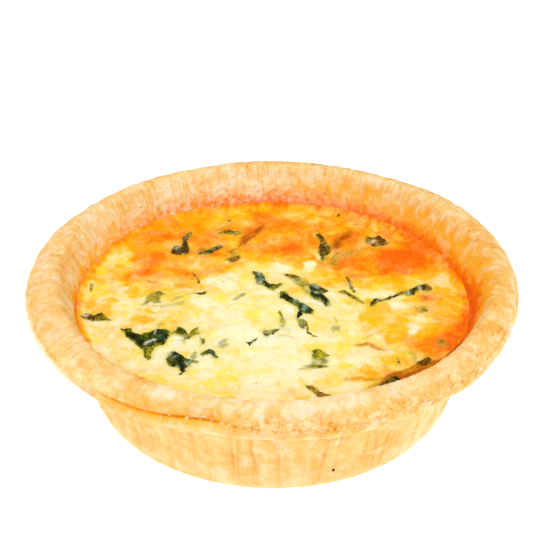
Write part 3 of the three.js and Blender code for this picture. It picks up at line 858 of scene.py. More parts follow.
# =====================================================================================
# leaf outlines, in mm on the custard (before the centring move)
# =====================================================================================
LEAVES = {
    "spinach_leaf_01": [[(-36.9,-11.5),(-36.0,-12.0),(-34.4,-11.5),(-33.9,-13.1),(-33.0,-13.8),(-31.5,-14.6),(-29.8,-13.7),(-28.9,-12.9),(-28.2,-12.5),(-27.2,-12.5),(-25.8,-12.7),(-24.6,-13.3),(-25.0,-14.9),(-25.6,-17.4),(-26.1,-18.5),(-26.8,-18.5),(-27.8,-19.1),(-28.4,-20.3),(-28.8,-21.5),(-28.8,-23.9),(-29.3,-24.2),(-30.3,-22.9),(-30.5,-21.1),(-31.1,-20.2),(-32.5,-18.2),(-34.0,-16.4),(-35.0,-15.2),(-35.5,-13.4)]],
    "spinach_leaf_02": [[(-24.5,-14.1),(-23.5,-13.3),(-23.1,-11.9),(-22.1,-11.5),(-21.3,-12.5),(-20.5,-14.2),(-20.5,-15.8),(-21.0,-16.3),(-21.6,-14.7),(-22.5,-14.1),(-23.4,-13.9)],
                        [(-20.3,-16.1),(-20.0,-14.2),(-19.3,-12.8),(-18.0,-11.4),(-18.3,-13.1),(-17.7,-14.0),(-18.0,-14.6),(-19.0,-14.5),(-19.7,-15.3)]],
    "spinach_leaf_03": [[(-25.0,-24.5),(-24.6,-22.7),(-24.0,-21.5),(-22.8,-21.8),(-21.8,-22.8),(-20.7,-24.2),(-20.0,-24.9),(-18.5,-25.3),(-17.5,-25.6),(-17.8,-26.2),(-18.7,-26.0),(-19.6,-26.9),(-20.4,-28.1),(-20.3,-29.0),(-21.0,-29.5),(-21.4,-30.2),(-21.6,-29.9),(-21.2,-29.0),(-21.7,-28.1),(-22.5,-27.3),(-23.2,-27.4),(-24.2,-26.8),(-24.7,-25.6)]],
    "spinach_leaf_04": [[(-17.0,-22.7),(-16.0,-21.6),(-14.9,-21.0),(-14.1,-21.5),(-13.3,-23.0),(-12.9,-23.9),(-13.6,-23.8),(-14.3,-22.9),(-15.0,-22.4),(-15.8,-22.9),(-16.7,-23.3)]],
    "spinach_leaf_05": [[(1.7,3.3),(3.1,3.6),(4.0,1.5),(5.4,0.2),(6.8,-1.1),(8.2,-1.9),(9.9,-3.8),(9.7,-5.5),(7.6,-5.0),(6.8,-5.9),(5.9,-7.4),(5.9,-5.9),(6.4,-3.7),(5.7,-2.4),(4.0,-0.9),(1.7,0.6)]],
    "spinach_leaf_06": [[(8.9,7.1),(10.1,7.7),(11.8,6.4),(13.8,5.1),(12.9,4.3),(11.7,3.9),(12.9,2.5),(13.8,0.9),(13.6,-1.4),(12.9,-2.5),(12.5,-0.3),(11.4,0.7),(10.2,1.2),(9.1,2.8),(9.5,5.2)]],
    "spinach_leaf_07": [[(-5.3,13.8),(-4.3,13.6),(-3.1,13.4),(-2.4,11.8),(-2.0,9.0),(-0.9,7.7),(0.6,7.0),(2.4,7.7),(1.4,5.7),(0.0,4.2),(-1.4,5.9),(-2.6,7.3),(-4.0,8.0),(-4.4,10.2),(-4.8,12.3)]],
    "spinach_leaf_08": [[(24.0,-1.1),(24.2,0.4),(25.0,1.8),(26.6,1.55),(28.4,2.6),(30.4,4.0),(32.5,5.6),(33.0,4.9),(30.5,3.4),(28.4,2.0),(26.7,1.1),(25.4,0.3),(24.7,-1.2)],
                        [(32.8,5.6),(34.3,6.7),(35.8,7.9),(37.3,8.7),(38.8,9.0),(39.7,7.9),(39.5,6.9),(38.0,6.6),(36.6,6.6),(35.7,5.8),(34.9,4.1),(33.8,3.8),(33.0,4.6)]],
    "spinach_leaf_09": [[(-26.5,22.1),(-26.1,24.6),(-25.2,25.0),(-24.0,24.4),(-23.7,26.7),(-23.7,30.0),(-22.6,32.4),(-21.4,33.0),(-21.9,30.7),(-22.7,28.0),(-22.3,25.5),(-21.7,23.3),(-22.4,21.5),(-24.1,21.2),(-25.6,21.5)]],
    "spinach_leaf_10": [[(-19.1,22.3),(-17.1,23.4),(-15.7,24.7),(-14.2,26.1),(-13.0,25.4),(-14.2,24.1),(-15.9,22.0),(-17.6,21.3),(-19.4,21.5)]],
    "spinach_leaf_11": [[(11.0,32.0),(12.1,32.4),(13.2,30.7),(13.3,28.7),(14.3,26.2),(14.9,24.5),(14.2,22.4),(13.2,21.4),(12.7,19.1),(12.4,17.9),(12.3,21.5),(11.6,23.3),(11.9,26.0),(12.3,28.2),(11.7,30.6)]],
    "spinach_leaf_12": [[(24.0,29.8),(25.0,31.1),(26.2,30.6),(27.5,32.2),(28.9,30.5),(30.0,28.5),(29.0,27.2),(27.8,27.4),(26.3,26.0),(25.4,27.1),(24.5,27.6)]],
    "spinach_leaf_13": [[(9.6,-20.8),(10.4,-20.2),(11.3,-20.6),(12.3,-21.5),(13.4,-22.5),(12.3,-23.0),(11.2,-23.3),(9.6,-23.4),(9.2,-22.4)]],
    "spinach_leaf_14": [[(7.7,-34.4),(8.7,-34.2),(9.7,-35.0),(10.9,-36.4),(12.4,-37.4),(14.5,-38.3),(12.6,-38.8),(10.9,-38.8),(9.9,-37.5),(8.7,-36.1)]],
    "spinach_leaf_15": [[(23.0,-34.7),(25.0,-33.1),(26.2,-31.8),(27.5,-30.2),(28.6,-29.8),(29.6,-30.9),(28.8,-31.7),(27.4,-32.3),(25.7,-33.6),(23.7,-34.7)]],
    "spinach_leaf_16": [[(33.7,-24.6),(35.3,-23.4),(36.6,-22.1),(37.5,-22.9),(37.0,-24.1),(35.7,-25.3),(34.0,-25.2)]],
    "spinach_leaf_17": [[(-46.9,-7.0),(-46.1,-5.6),(-44.8,-5.2),(-43.8,-6.2),(-42.5,-5.3),(-41.7,-5.0),(-41.0,-6.2),(-39.5,-7.8),(-40.9,-7.6),(-42.3,-7.9),(-43.7,-8.1),(-45.1,-7.5),(-46.2,-7.4)]],
    "spinach_leaf_18": [[(16.3,4.7),(17.5,5.4),(18.9,4.1),(20.3,2.6),(22.4,-0.1),(21.0,0.6),(19.4,2.0),(18.0,3.6)],
                        [(18.3,11.7),(18.9,11.7),(19.5,8.9),(19.9,6.4),(20.6,4.3),(20.0,4.4),(19.3,6.1),(19.0,8.6)]],
}
# Smaller scraps of leaf, one joined piece: (outline, olive 0..1).
SCRAPS = [
    ([(-6.7,-17.7),(-6.0,-17.4),(-4.8,-16.6),(-3.6,-15.4),(-3.8,-16.5),(-4.8,-17.5),(-5.5,-18.9),(-6.1,-17.8)], 0.1),
    ([(-20.1,4.1),(-18.8,3.6),(-17.7,3.8),(-16.5,4.3),(-17.0,2.8),(-18.0,2.6),(-19.0,3.0)], 0.2),
    ([(-20.9,13.2),(-20.4,12.8),(-19.1,9.9),(-18.5,9.1),(-18.4,7.7),(-18.8,7.3),(-19.2,9.1),(-20.2,11.5)], 0.5),
    ([(1.2,-4.8),(1.7,-4.3),(2.3,-6.0),(2.6,-7.4),(2.2,-7.7),(1.4,-6.0)], 0.95),
    ([(7.6,-8.1),(8.2,-8.6),(8.7,-11.5),(8.5,-12.7),(9.7,-14.2),(11.1,-15.1),(9.6,-14.9),(8.1,-13.2),(8.1,-11.2)], 0.95),
    ([(-14.8,32.3),(-13.3,34.1),(-11.5,34.1),(-9.3,33.6),(-10.2,31.9),(-11.7,32.7),(-13.2,32.4)], 0.6),
    ([(-12.8,18.7),(-11.1,19.2),(-9.3,20.3),(-8.4,19.2),(-9.8,17.6),(-11.0,17.3)], 0.95),
    ([(-2.3,-13.1),(-1.7,-12.1),(-1.0,-12.3),(-0.8,-13.6),(-1.4,-14.8),(-2.1,-14.5)], 0.25),
    ([(-0.3,-13.4),(0.3,-11.8),(1.4,-11.2),(1.6,-11.9),(0.6,-12.7),(0.1,-14.1)], 0.25),
    ([(2.7,12.2),(4.3,12.2),(6.1,11.2),(7.1,9.5),(6.1,9.6),(4.4,10.2),(3.3,11.0)], 0.45),
    ([(-17.5,-16.1),(-16.2,-17.1),(-16.4,-18.9),(-16.9,-18.7),(-16.9,-17.4)], 0.7),
    ([(8.1,-27.1),(9.7,-26.2),(11.5,-26.3),(13.1,-26.8),(11.3,-27.2),(9.4,-27.3)], 0.6),
    ([(-12.4,39.4),(-11.6,39.6),(-11.2,38.6),(-12.0,38.1)], 0.7),
    ([(16.9,42.8),(17.8,43.0),(18.1,42.0),(17.1,41.8)], 0.7),
    ([(36.3,-2.4),(37.4,-2.2),(38.0,-3.2),(36.8,-3.5)], 0.8),
    ([(29.3,-24.0),(29.9,-24.0),(30.0,-24.9),(29.5,-24.9)], 0.5),
    ([(-45.9,8.0),(-45.5,7.9),(-45.3,4.4),(-45.7,4.4)], 0.7),
]


def all_outlines():
    for parts in LEAVES.values():
        yield from parts


# =====================================================================================
# custard
# =====================================================================================
GRID = 300
CUSTARD_REACH = 49.1  # just into the pastry wall, so that no gap shows


def toast_field(x, y):
    """How browned the custard is: 0 pale, 1 deep orange."""
    wx = x + 1.3 * noise(x / 7.0, y / 7.0, 1.0, seed=101) + 0.9 * noise(x / 3.0, y / 3.0, 2.0, seed=103) + 0.40 * noise(x / 1.3, y / 1.3, 5.0, seed=104)
    wy = y + 1.3 * noise(x / 7.0, y / 7.0, 3.0, seed=105) + 0.9 * noise(x / 3.0, y / 3.0, 4.0, seed=107) + 0.40 * noise(x / 1.3, y / 1.3, 6.0, seed=108)
    edge_x = [-49, -46, -43, -38, -34, -30, -20, -10, 0, 8, 12, 20, 28, 34, 38, 43, 49]
    edge_y = [20, 22, 23, 23, 15, 8, 10.5, 18.5, 20.5, 20, 13, 9, 8, 9, 11, 14, 12]
    d = wy - np.interp(wx, edge_x, edge_y)
    t = 0.05 + 0.46 * smooth(-5.5, 5.5, d) + 0.08 * smooth(4, 16, d)
    t = t + 0.20 * blob(wx, wy, 42, -4, 6, 13, -12) + 0.10 * blob(wx, wy, 30, 0, 10, 8)
    for cx, cy, rx, ry, turn, a in (
        # the pale middle yellows outwards
        (-38, 14, 8, 9, 0, 0.24), (-30, 5, 13, 7, 0, 0.16), (-30, -9, 9, 6, 0, 0.12), (31, -5, 11, 13, 0, 0.16), (35, -26, 9, 4, 38, 0.20),
        (44, -12, 5, 12, -18, 0.24), (12, 9, 10, 5, 0, 0.14), (-12, 15, 12, 4, 10, 0.10), (22, -30, 9, 4, 10, 0.10), (40, 12, 6, 6, 0, 0.14),
        (18, 18, 4, 4, 0, 0.22), (6.5, 19, 3, 3, 0, 0.16), (9, 12, 6, 3, 0, 0.14), (-18, 6, 5, 3, 10, 0.20), (24, 0, 4, 3, 0, 0.18),
        (-24, -11, 4, 2.4, 0, 0.18), (24, -19, 4, 2.4, 0, 0.14), (46, 0, 2.4, 9, 0, 0.18), (36, -17, 6, 4, 0, 0.22), (33, -21, 5, 2.6, 20, 0.16), (28, -12, 5, 5, 0, 0.08),  (6, 4.5, 4, 2.4, 0, 0.16), (12, 18, 3, 3, 0, 0.14), (37, 6, 5, 3, 0, 0.16), (-28, -6, 5, 2.4, 0, 0.14), (5, 24, 4, 3, 0, 0.12), (-36, 12, 5, 2.6, 0, 0.14), (30, -24, 4, 2.4, 20, 0.20), (34, -28.5, 11, 2.4, 38, 0.30),
        (30, -32, 8, 2.6, 30, 0.30), (4, -37, 7, 1.6, 0, 0.22), (6.6, 16.4, 1.6, 2.0, 0, 0.30), (28.5, -15.3, 2.4, 2.4, 0, 0.20), (-41, -4.8, 2.2, 2, 0, 0.15),
        (13.5, 7.6, 2, 1.8, 0, 0.30), (-2, 24, 6, 4, 0, 0.26), (-13.6, 22.2, 3, 2, 0, 0.26), (18.5, 0, 2, 2.4, 0, 0.20), (23.4, -12, 2.6, 2.4, 0, 0.20),
        (11.9, 16.4, 1.8, 2.2, 0, 0.25), (33, 14.4, 3, 2, 0, 0.25), (-34, -10.6, 3, 1.6, 0, 0.18), (21, 13.3, 3, 2, 0, 0.25), (-34.4, 10.6, 2.6, 2, 0, 0.18),
        (22, -7.4, 2, 2, 0, 0.14), (32.6, -14.8, 2.4, 2.4, 0, 0.20), (-45, 12, 1.8, 6, 0, 0.24), (-12, 12, 5, 1.8, 0, 0.18), (31.5, 1.5, 2, 1.2, 0, 0.16),
        (40, -15, 3, 3, 0, 0.10),
        # deeper
        (33, 20, 7, 5, 0, 0.42), (29, 23, 5, 4, 0, 0.30), (37, 23, 4, 5, 0, 0.26), (18, 17, 4, 2, 0, 0.18), (4, 26, 4, 3, 60, 0.26),
        (3, 37, 4, 3.4, 0, 0.28), (20, 30, 5, 3, 60, 0.30), (-3, 39, 4, 5, 0, 0.22), (-5, 33, 3, 4, 60, 0.22), (-30, 20, 5, 3, 20, 0.32),
        (-33, 13, 3.4, 2.6, 0, 0.34), (-37, 9.5, 3, 1.8, 15, 0.30), (-31, 30, 5, 3.6, 30, 0.26), (-24, 6.5, 2.6, 1.4, 10, 0.34),
        (-25, 11.5, 6, 1.8, 18, 0.22), (-13.5, 14.5, 7, 1.7, 26, 0.30), (38, 30, 4, 6, -30, 0.16), (10, 30, 3, 5, -20, 0.22),
        (-17, 32, 4, 5, 10, 0.22), (25, 40, 6, 3, 0, 0.10), (37.5, 2.5, 2.6, 1.8, 0, 0.34), (36, -2, 2.6, 1.4, 0, 0.34),
        (38, -18, 3.4, 4, -30, 0.46), (44, -12, 2.2, 7, -24, 0.34), (25, -29.5, 5, 1.8, 12, 0.34), (41, -15, 3, 4, -30, 0.2),
        (-44.6, -12, 1.2, 4, 15, 0.0), (22, 22, 3, 5, 50, 0.18), (-22, 29, 3, 5, 10, 0.20), (12.5, 37, 2, 3, -30, 0.14),
        (-31, -8.6, 2.6, 1.8, 20, 0.26), (-45.5, -1.5, 2, 3, 0, 0.30), (41, 3, 4, 3, 0, 0.10), (29, 14.5, 5, 3, 0, 0.16),
        # paler
        (-20, 15.2, 3.6, 2.0, 15, -0.40), (4.6, 42.7, 3, 2, 0, -0.18), (-20.4, 25.6, 1.5, 2.6, 0, -0.26), (25.4, 21.9, 2.4, 2, 0, -0.28), (9.6, 26, 1.5, 2.6, 0, -0.24),
        (-38.5, 14.2, 2, 1.6, 0, -0.14), (10.4, 35.5, 2, 2, 0, -0.12), (-14, 27.8, 3, 2, 0, -0.14),
        (9.4, 17, 1.0, 2.2, -12, -0.70), (11.1, 21.5, 0.8, 2.6, 18, -0.5), (1.6, 16.0, 2.4, 1.6, 0, -0.30), (12, 12, 3.4, 2.2, 0, -0.16),
        (24.5, 3.2, 3.2, 1.6, 30, -0.5), (30, 2.8, 2.6, 1.6, 0, -0.40), (30.6, -0.4, 2, 1.2, 0, -0.40),
        (45.4, 4, 1.8, 3.4, 0, -0.04), (42.4, 13, 3, 3.6, 0, -0.20), (42.6, 20.5, 2, 4.4, 10, -0.16), (37.6, 8.4, 3, 1.6, 0, -0.26),
        (-15, 40, 1.6, 4, 10, -0.28), (-8.5, 38, 3, 2.6, 0, -0.16), (-11, 29, 1.8, 3, 0, -0.30), (-10.5, 42.4, 2.4, 2.4, 0, -0.18),
        (-26.5, 26.4, 2.2, 2, 0, -0.22), (15.8, 34.4, 1, 3.6, -45, -0.30), (19.6, 37.4, 1, 2, -40, -0.24), (10.5, 38.4, 1.6, 1.8, 0, -0.30),
        (4.5, 43, 3, 2, 0, -0.22), (26.4, 36, 1.1, 5.4, -8, -0.30), (14, 44, 3, 2, 0, -0.2), (32, 43, 3, 2, 0, -0.2),
        (40, 37, 2.4, 2, 0, -0.22), (36, -6.4, 1.8, 1.6, 0, -0.55), (33.5, -12, 1.4, 2, 0, -0.45), (-39, 21, 3, 2.6, 0, -0.24),
        (23.5, 27, 1.2, 3, -35, -0.12), (-19, 39, 3, 4, 0, -0.10),
        (36, -9.5, 3, 1.6, 0, -0.15), (16.5, 13.4, 2, 1.4, 0, -0.1), (31, 38.5, 3, 2.4, 0, -0.10), (-4, 46, 5, 1.4, 0, -0.14),
    ):
        t = t + a * blob(wx, wy, cx, cy, rx, ry, turn, 1.15)
    # the juice browns in a ring at the crust
    r, th = np.hypot(x, y), np.arctan2(y, x)
    ring = 0.50 * arc(th, -12, 50) + 0.34 * arc(th, 34, 38) + 0.60 * arc(th, 198, 46) + 0.38 * arc(th, 158, 30) + 0.20 * arc(th, 90, 50)
    width = 1.4 + 1.9 * arc(th, -20, 26) + 1.5 * arc(th, 20, 40) + 0.9 * arc(th, 186, 36) + 1.2 * arc(th, 90, 50)
    wobble = 1.1 * noise(x / 2.5, y / 2.5, 9.0, seed=109) + 0.5 * noise(x / 1.0, y / 1.0, 9.5, seed=110)
    t = t + ring * smooth(48.2 - width, 48.1, r + wobble)
    return t, wx, wy


PATCHES = {
    "lemon": [
        (-43, 5.4, 3, 3.6, 0),
        (-13, 1.5, 2.6, 1.5, 0), (-8, -3, 2.4, 1.4, 0), (-5, -6, 2, 2.8, 0), (-9, -29.5, 4, 2.8, 10), (-3, -29.5, 3, 2, 0), (-14, -33.5, 2.4, 1.5, 0),
        (-2, -20, 3.4, 1.2, 0), (17, -26, 2.6, 2, 0), (16, -19, 2.6, 2.4, 0), (-43.5, 14, 1.6, 2.2, 0), (-42, -16, 3, 1.5, -40), (-27.5, -32, 3, 2, -15),
        (-19, -37.5, 3, 1.6, 0), (5, 13, 2.2, 1.6, 0), (-15, 40, 1.2, 3, 0), (6, 8, 2.2, 2, 0), (31.5, -22, 3, 1.8, 0), (-38.5, 18, 2.2, 2, 0),
        (24, 7.5, 3.2, 1.5, 0), (20, 3.6, 2, 1.4, -40), (-21, -34.5, 2, 1.2, 0), (-12, -37, 3, 1.4, 0), (18.5, 0, 1.6, 2, 0), (14.7, -1.8, 1.4, 2, 0), (-7, 9, 2.6, 1.4, 0),
        (-22, 1, 2, 1, 0), (-3, 11, 2, 1.2, 0), (-26, 0.5, 1.6, 1, 0), (2, -7.5, 1.2, 2, 0), (10, -19, 3, 1.6, 0), (13, -24, 1.6, 2, 0),
        (-10, 22, 2.6, 1.4, 0), (19, 14, 2.4, 1.2, 0), (26, 11.6, 3, 1, 0), (20, -9, 1.6, 2.6, 0), (36, 12, 3, 1.2, 0), (-26.5, -10.6, 1.2, 1.6, 0),
    ],
    "gold": [
        (29.9, -12.2, 2.6, 3.6, 0), (37.4, -15.2, 2.4, 2.8, 0), (25.8, -3.2, 2.8, 2.0, 0), (0, 37.6, 5, 2.4, 0), (-9, 40.4, 4, 1.6, 10),
        (28.5, -15.3, 2.2, 2.2, 0), (22.7, 7.3, 2.6, 1.5, 0), (-40.9, -4.8, 2, 1.8, 0), (21.9, -7.4, 1.6, 2, 0), (-40, 0, 2.6, 1.4, 0), (-41, -2.4, 2.6, 1.5, 0), (-43, -4.5, 2, 1.4, 0), (-33, -7, 2.0, 1.2, 0), (-31, -9, 1.6, 1.1, 0), (-31, -4.5, 1.2, 0.8, 0),
        (-10, -39, 1.8, 1.2, 0), (25, -4, 3.0, 5.0, -8), (25.4, -5.6, 2.4, 3.4, 0), (31, -7.5, 1.7, 1.8, 0), (30, -13.4, 2.0, 4.6, 6), (37.5, -12, 2.8, 4.4, -10), (39, -18, 3, 4, -30), (27.5, -24, 2.4, 1.8, 0),
        (22, -28, 1.6, 2.6, 0), (12, 12, 3, 2, 0), (16.5, 10.5, 3, 1.6, 0), (28, 9.6, 5, 1.7, 0), (-2, 20, 2, 1.8, 0), (-36, 25, 2.6, 2, 0),
        (-30, 25, 3.6, 2.4, 0), (-35, 5, 2.2, 1.4, 0), (-45, -1, 2, 2, 0), (-21, 38, 4.6, 3.6, 0), (-34, 2.6, 2, 1, 0), (-30, 1.5, 1.6, 1.2, 0),
        (20.5, 9.2, 2, 1.6, 0), (23.6, 0.6, 1.8, 2, 0), (33.6, 1.8, 2.2, 1, 0), (34, -4.2, 2.4, 1.2, 0), (-43.4, 9.4, 1.6, 1.2, 0), (-39.5, 16.4, 1.6, 1, 0),
        (19.6, -31.8, 1.6, 1.2, 0), (30, 25.6, 2, 1, 0), (42, 6.4, 2.2, 1.4, 0), (41.5, 0.6, 2.2, 1.6, 0), (24.5, -8.5, 1.6, 2, 0), (7, -38.6, 2, 1, 0),
    ],
    "peach": [
        (-20, 15.2, 4, 2.2, 15), (33.5, -1.5, 2, 1.6, 0), (4.6, 42.7, 2.6, 1.8, 0), (-26.6, 38.5, 3, 2.2, 0), (-20.7, 25.6, 1.6, 2.6, 0), (25.4, 21.9, 2.2, 1.8, 0),
        (9.8, 26, 1.5, 2.4, 0), (10.4, 35.5, 2, 2, 0), (-14, 27.8, 3, 1.8, 0), (-12, 12, 5, 1.6, 0), (32.3, -20.6, 3, 1.8, 0), (38.6, -2, 2.6, 1.6, 0), (-18, -30, 4, 3, 0), (-12, -36, 4, 3, 0), (-5, -37, 4, 2.6, 0), (-12, -42, 4, 2.4, 0), (39.9, -0.6, 2, 1.4, 0),
        (-22, -6, 4, 1.8, 0), (-38, -13, 2.6, 2, 0), (-36, -22, 3, 2, 0), (-5, -35, 4, 2, 0), (-14, -12, 3, 2, 0), (12, -10, 2.8, 3.6, 0),
        (20, -16, 2.4, 2, 0), (23, -21, 3, 2, 0), (33, -17, 2.6, 2, 0), (9.5, -29, 3, 2.6, 0), (5, -36, 2.6, 2, 0), (0, -34, 3, 2, 0),
        (-25, 16, 3, 2, 0), (-22, 10, 3, 2, 0), (-26.5, 26, 2.4, 2, 0), (-8.5, 38, 3, 2.5, 0), (-5.5, 34.5, 2, 2, 0), (15, 33, 1, 3, -45),
        (10.5, 38, 1.6, 1.6, 0), (26.5, 36, 1.2, 5, -5), (40, 37, 2.4, 2, 0), (42, 13, 3, 3, 0), (42.5, 20, 2, 4, 10), (-18, -9, 4, 1.6, 10),
        (19, -21.5, 3, 1.6, 0), (28, -16, 3, 1.4, 0), (-17, 13, 3, 1.4, 20), (14.5, 26, 1, 3, 0), (13, -15, 2, 1.6, 0), (37, 5, 3, 1.4, 0),
        (17, -37, 3, 1, 10), (-7, -31.5, 2, 1, 0), (-16, -36, 2, 1.4, 0), (30.6, -1.8, 3, 1.2, 0), (37, -8.6, 2.4, 1.4, 0), (-29, -28, 3, 1.4, -20),
        (-35, 28, 3, 1.6, 40), (-18, 27, 1.8, 3.4, 20), (22.5, 25, 0.9, 4, -35), (4.4, 21, 2.4, 1.2, 0), (-24, 32, 1.2, 2.4, 0), (33, 30, 2.4, 1.2, 0),
    ],
    "milk_and_sheen": [
        (0, -31, 3, 2.0, 0), (1, -22, 3, 3, 0), (0, -37, 4, 2.4, 0), (-4, -33, 4, 3, 0), (4, -34, 3, 2, 0), (8, -31.5, 2, 2.6, 0), (-20, -33, 3, 1.8, -10),
        (-37, 5.4, 2, 1.6, 0), (-35.5, -1, 2, 1.4, 0),
        (-18, 17.4, 3, 2, 10), (-17, -1, 3, 2.4, 0), (-12, 7, 3, 2.4, 0), (-11, -6, 4, 2.6, 0), (-3, -28.5, 4.4, 2.6, 0), (-1, -33, 3, 1.8, 0),
        (8.8, 16.6, 1.3, 2.2, -12), (11.2, 21.4, 0.7, 2.4, 18), (1.6, 15.6, 2, 1.4, 0),
        (30, 4, 2, 1.1, 0), (24.4, 3, 2.6, 1, 25), (31, -0.5, 2.4, 1.1, 0), (-23, -17, 2.4, 1.8, 0),
        (-19.5, -18.5, 2, 1.4, 0), (-22, -20.6, 2.4, 1.2, 0), (-17, -24.4, 2.6, 1.2, 0), (-10, -16, 3.4, 2.4, 0), (-5, -22.6, 3, 1.4, 0), (-42, -9.6, 2.6, 1, -10),
        (-33, -26, 2.6, 1.3, -20), (-23, -30.6, 3, 1.4, 0), (-8, -12, 4, 1.8, 0), (3.6, -4.4, 1.3, 3, 20), (26, -14.6, 1.5, 1.4, 0), (24.6, -12.6, 1.2, 0.9, 0),
        (33.5, -12, 1.1, 1.6, 0), (36, -6.5, 1.5, 1.1, 0), (2, -20.6, 3, 3, 0), (5, -26, 3, 2.6, 0), (12, -26, 1.8, 1.3, 0), (15.5, -24.4, 2, 1.2, 0),
        (5, -30.6, 3, 2, 0), (11.2, -0.4, 1.5, 3.2, 35), (-2, -17, 5, 2, 0), (3, -16, 4, 2.6, 0), (6.4, -12.6, 2.6, 2.4, 0), (-3, 3, 4, 1.6, 0),
        (0, 14.6, 3, 1.4, 0), (-16, 8.5, 3, 1.2, 0), (-26, -24, 1.6, 2, 0), (-28, -6.8, 3, 1, 0), (-32, -11.4, 2.4, 1, 0), (14.5, 3.6, 1.6, 2.4, 30),
        (18.6, -1.6, 2, 2.6, 0), (-12, -23.6, 3, 1.6, 0), (1, -26, 2, 3, 0), (-37.5, -9, 2.6, 1.2, 0), (15, -16, 2, 1.2, 0), (-22, 5.6, 3, 1.2, 10),
        (-31, -32, 2, 1.2, -20), (19, -24, 1.8, 1.4, 0), (-10, 12, 3, 1.2, 10), (28.2, 4.8, 1.4, 1.4, 0), (-16, -30.5, 2.6, 1.3, 0), (11, 31.5, 0.8, 1.6, 0),
        (-8, -9, 3, 1.4, 0), (8, -17, 2, 2, 0), (-35, 9.6, 1.6, 1, 0), (-40, -19.6, 2, 1, -45), (39.6, -6.6, 1.2, 1.4, 0), (20.6, 6.2, 1.2, 1.2, 0),
    ],
}


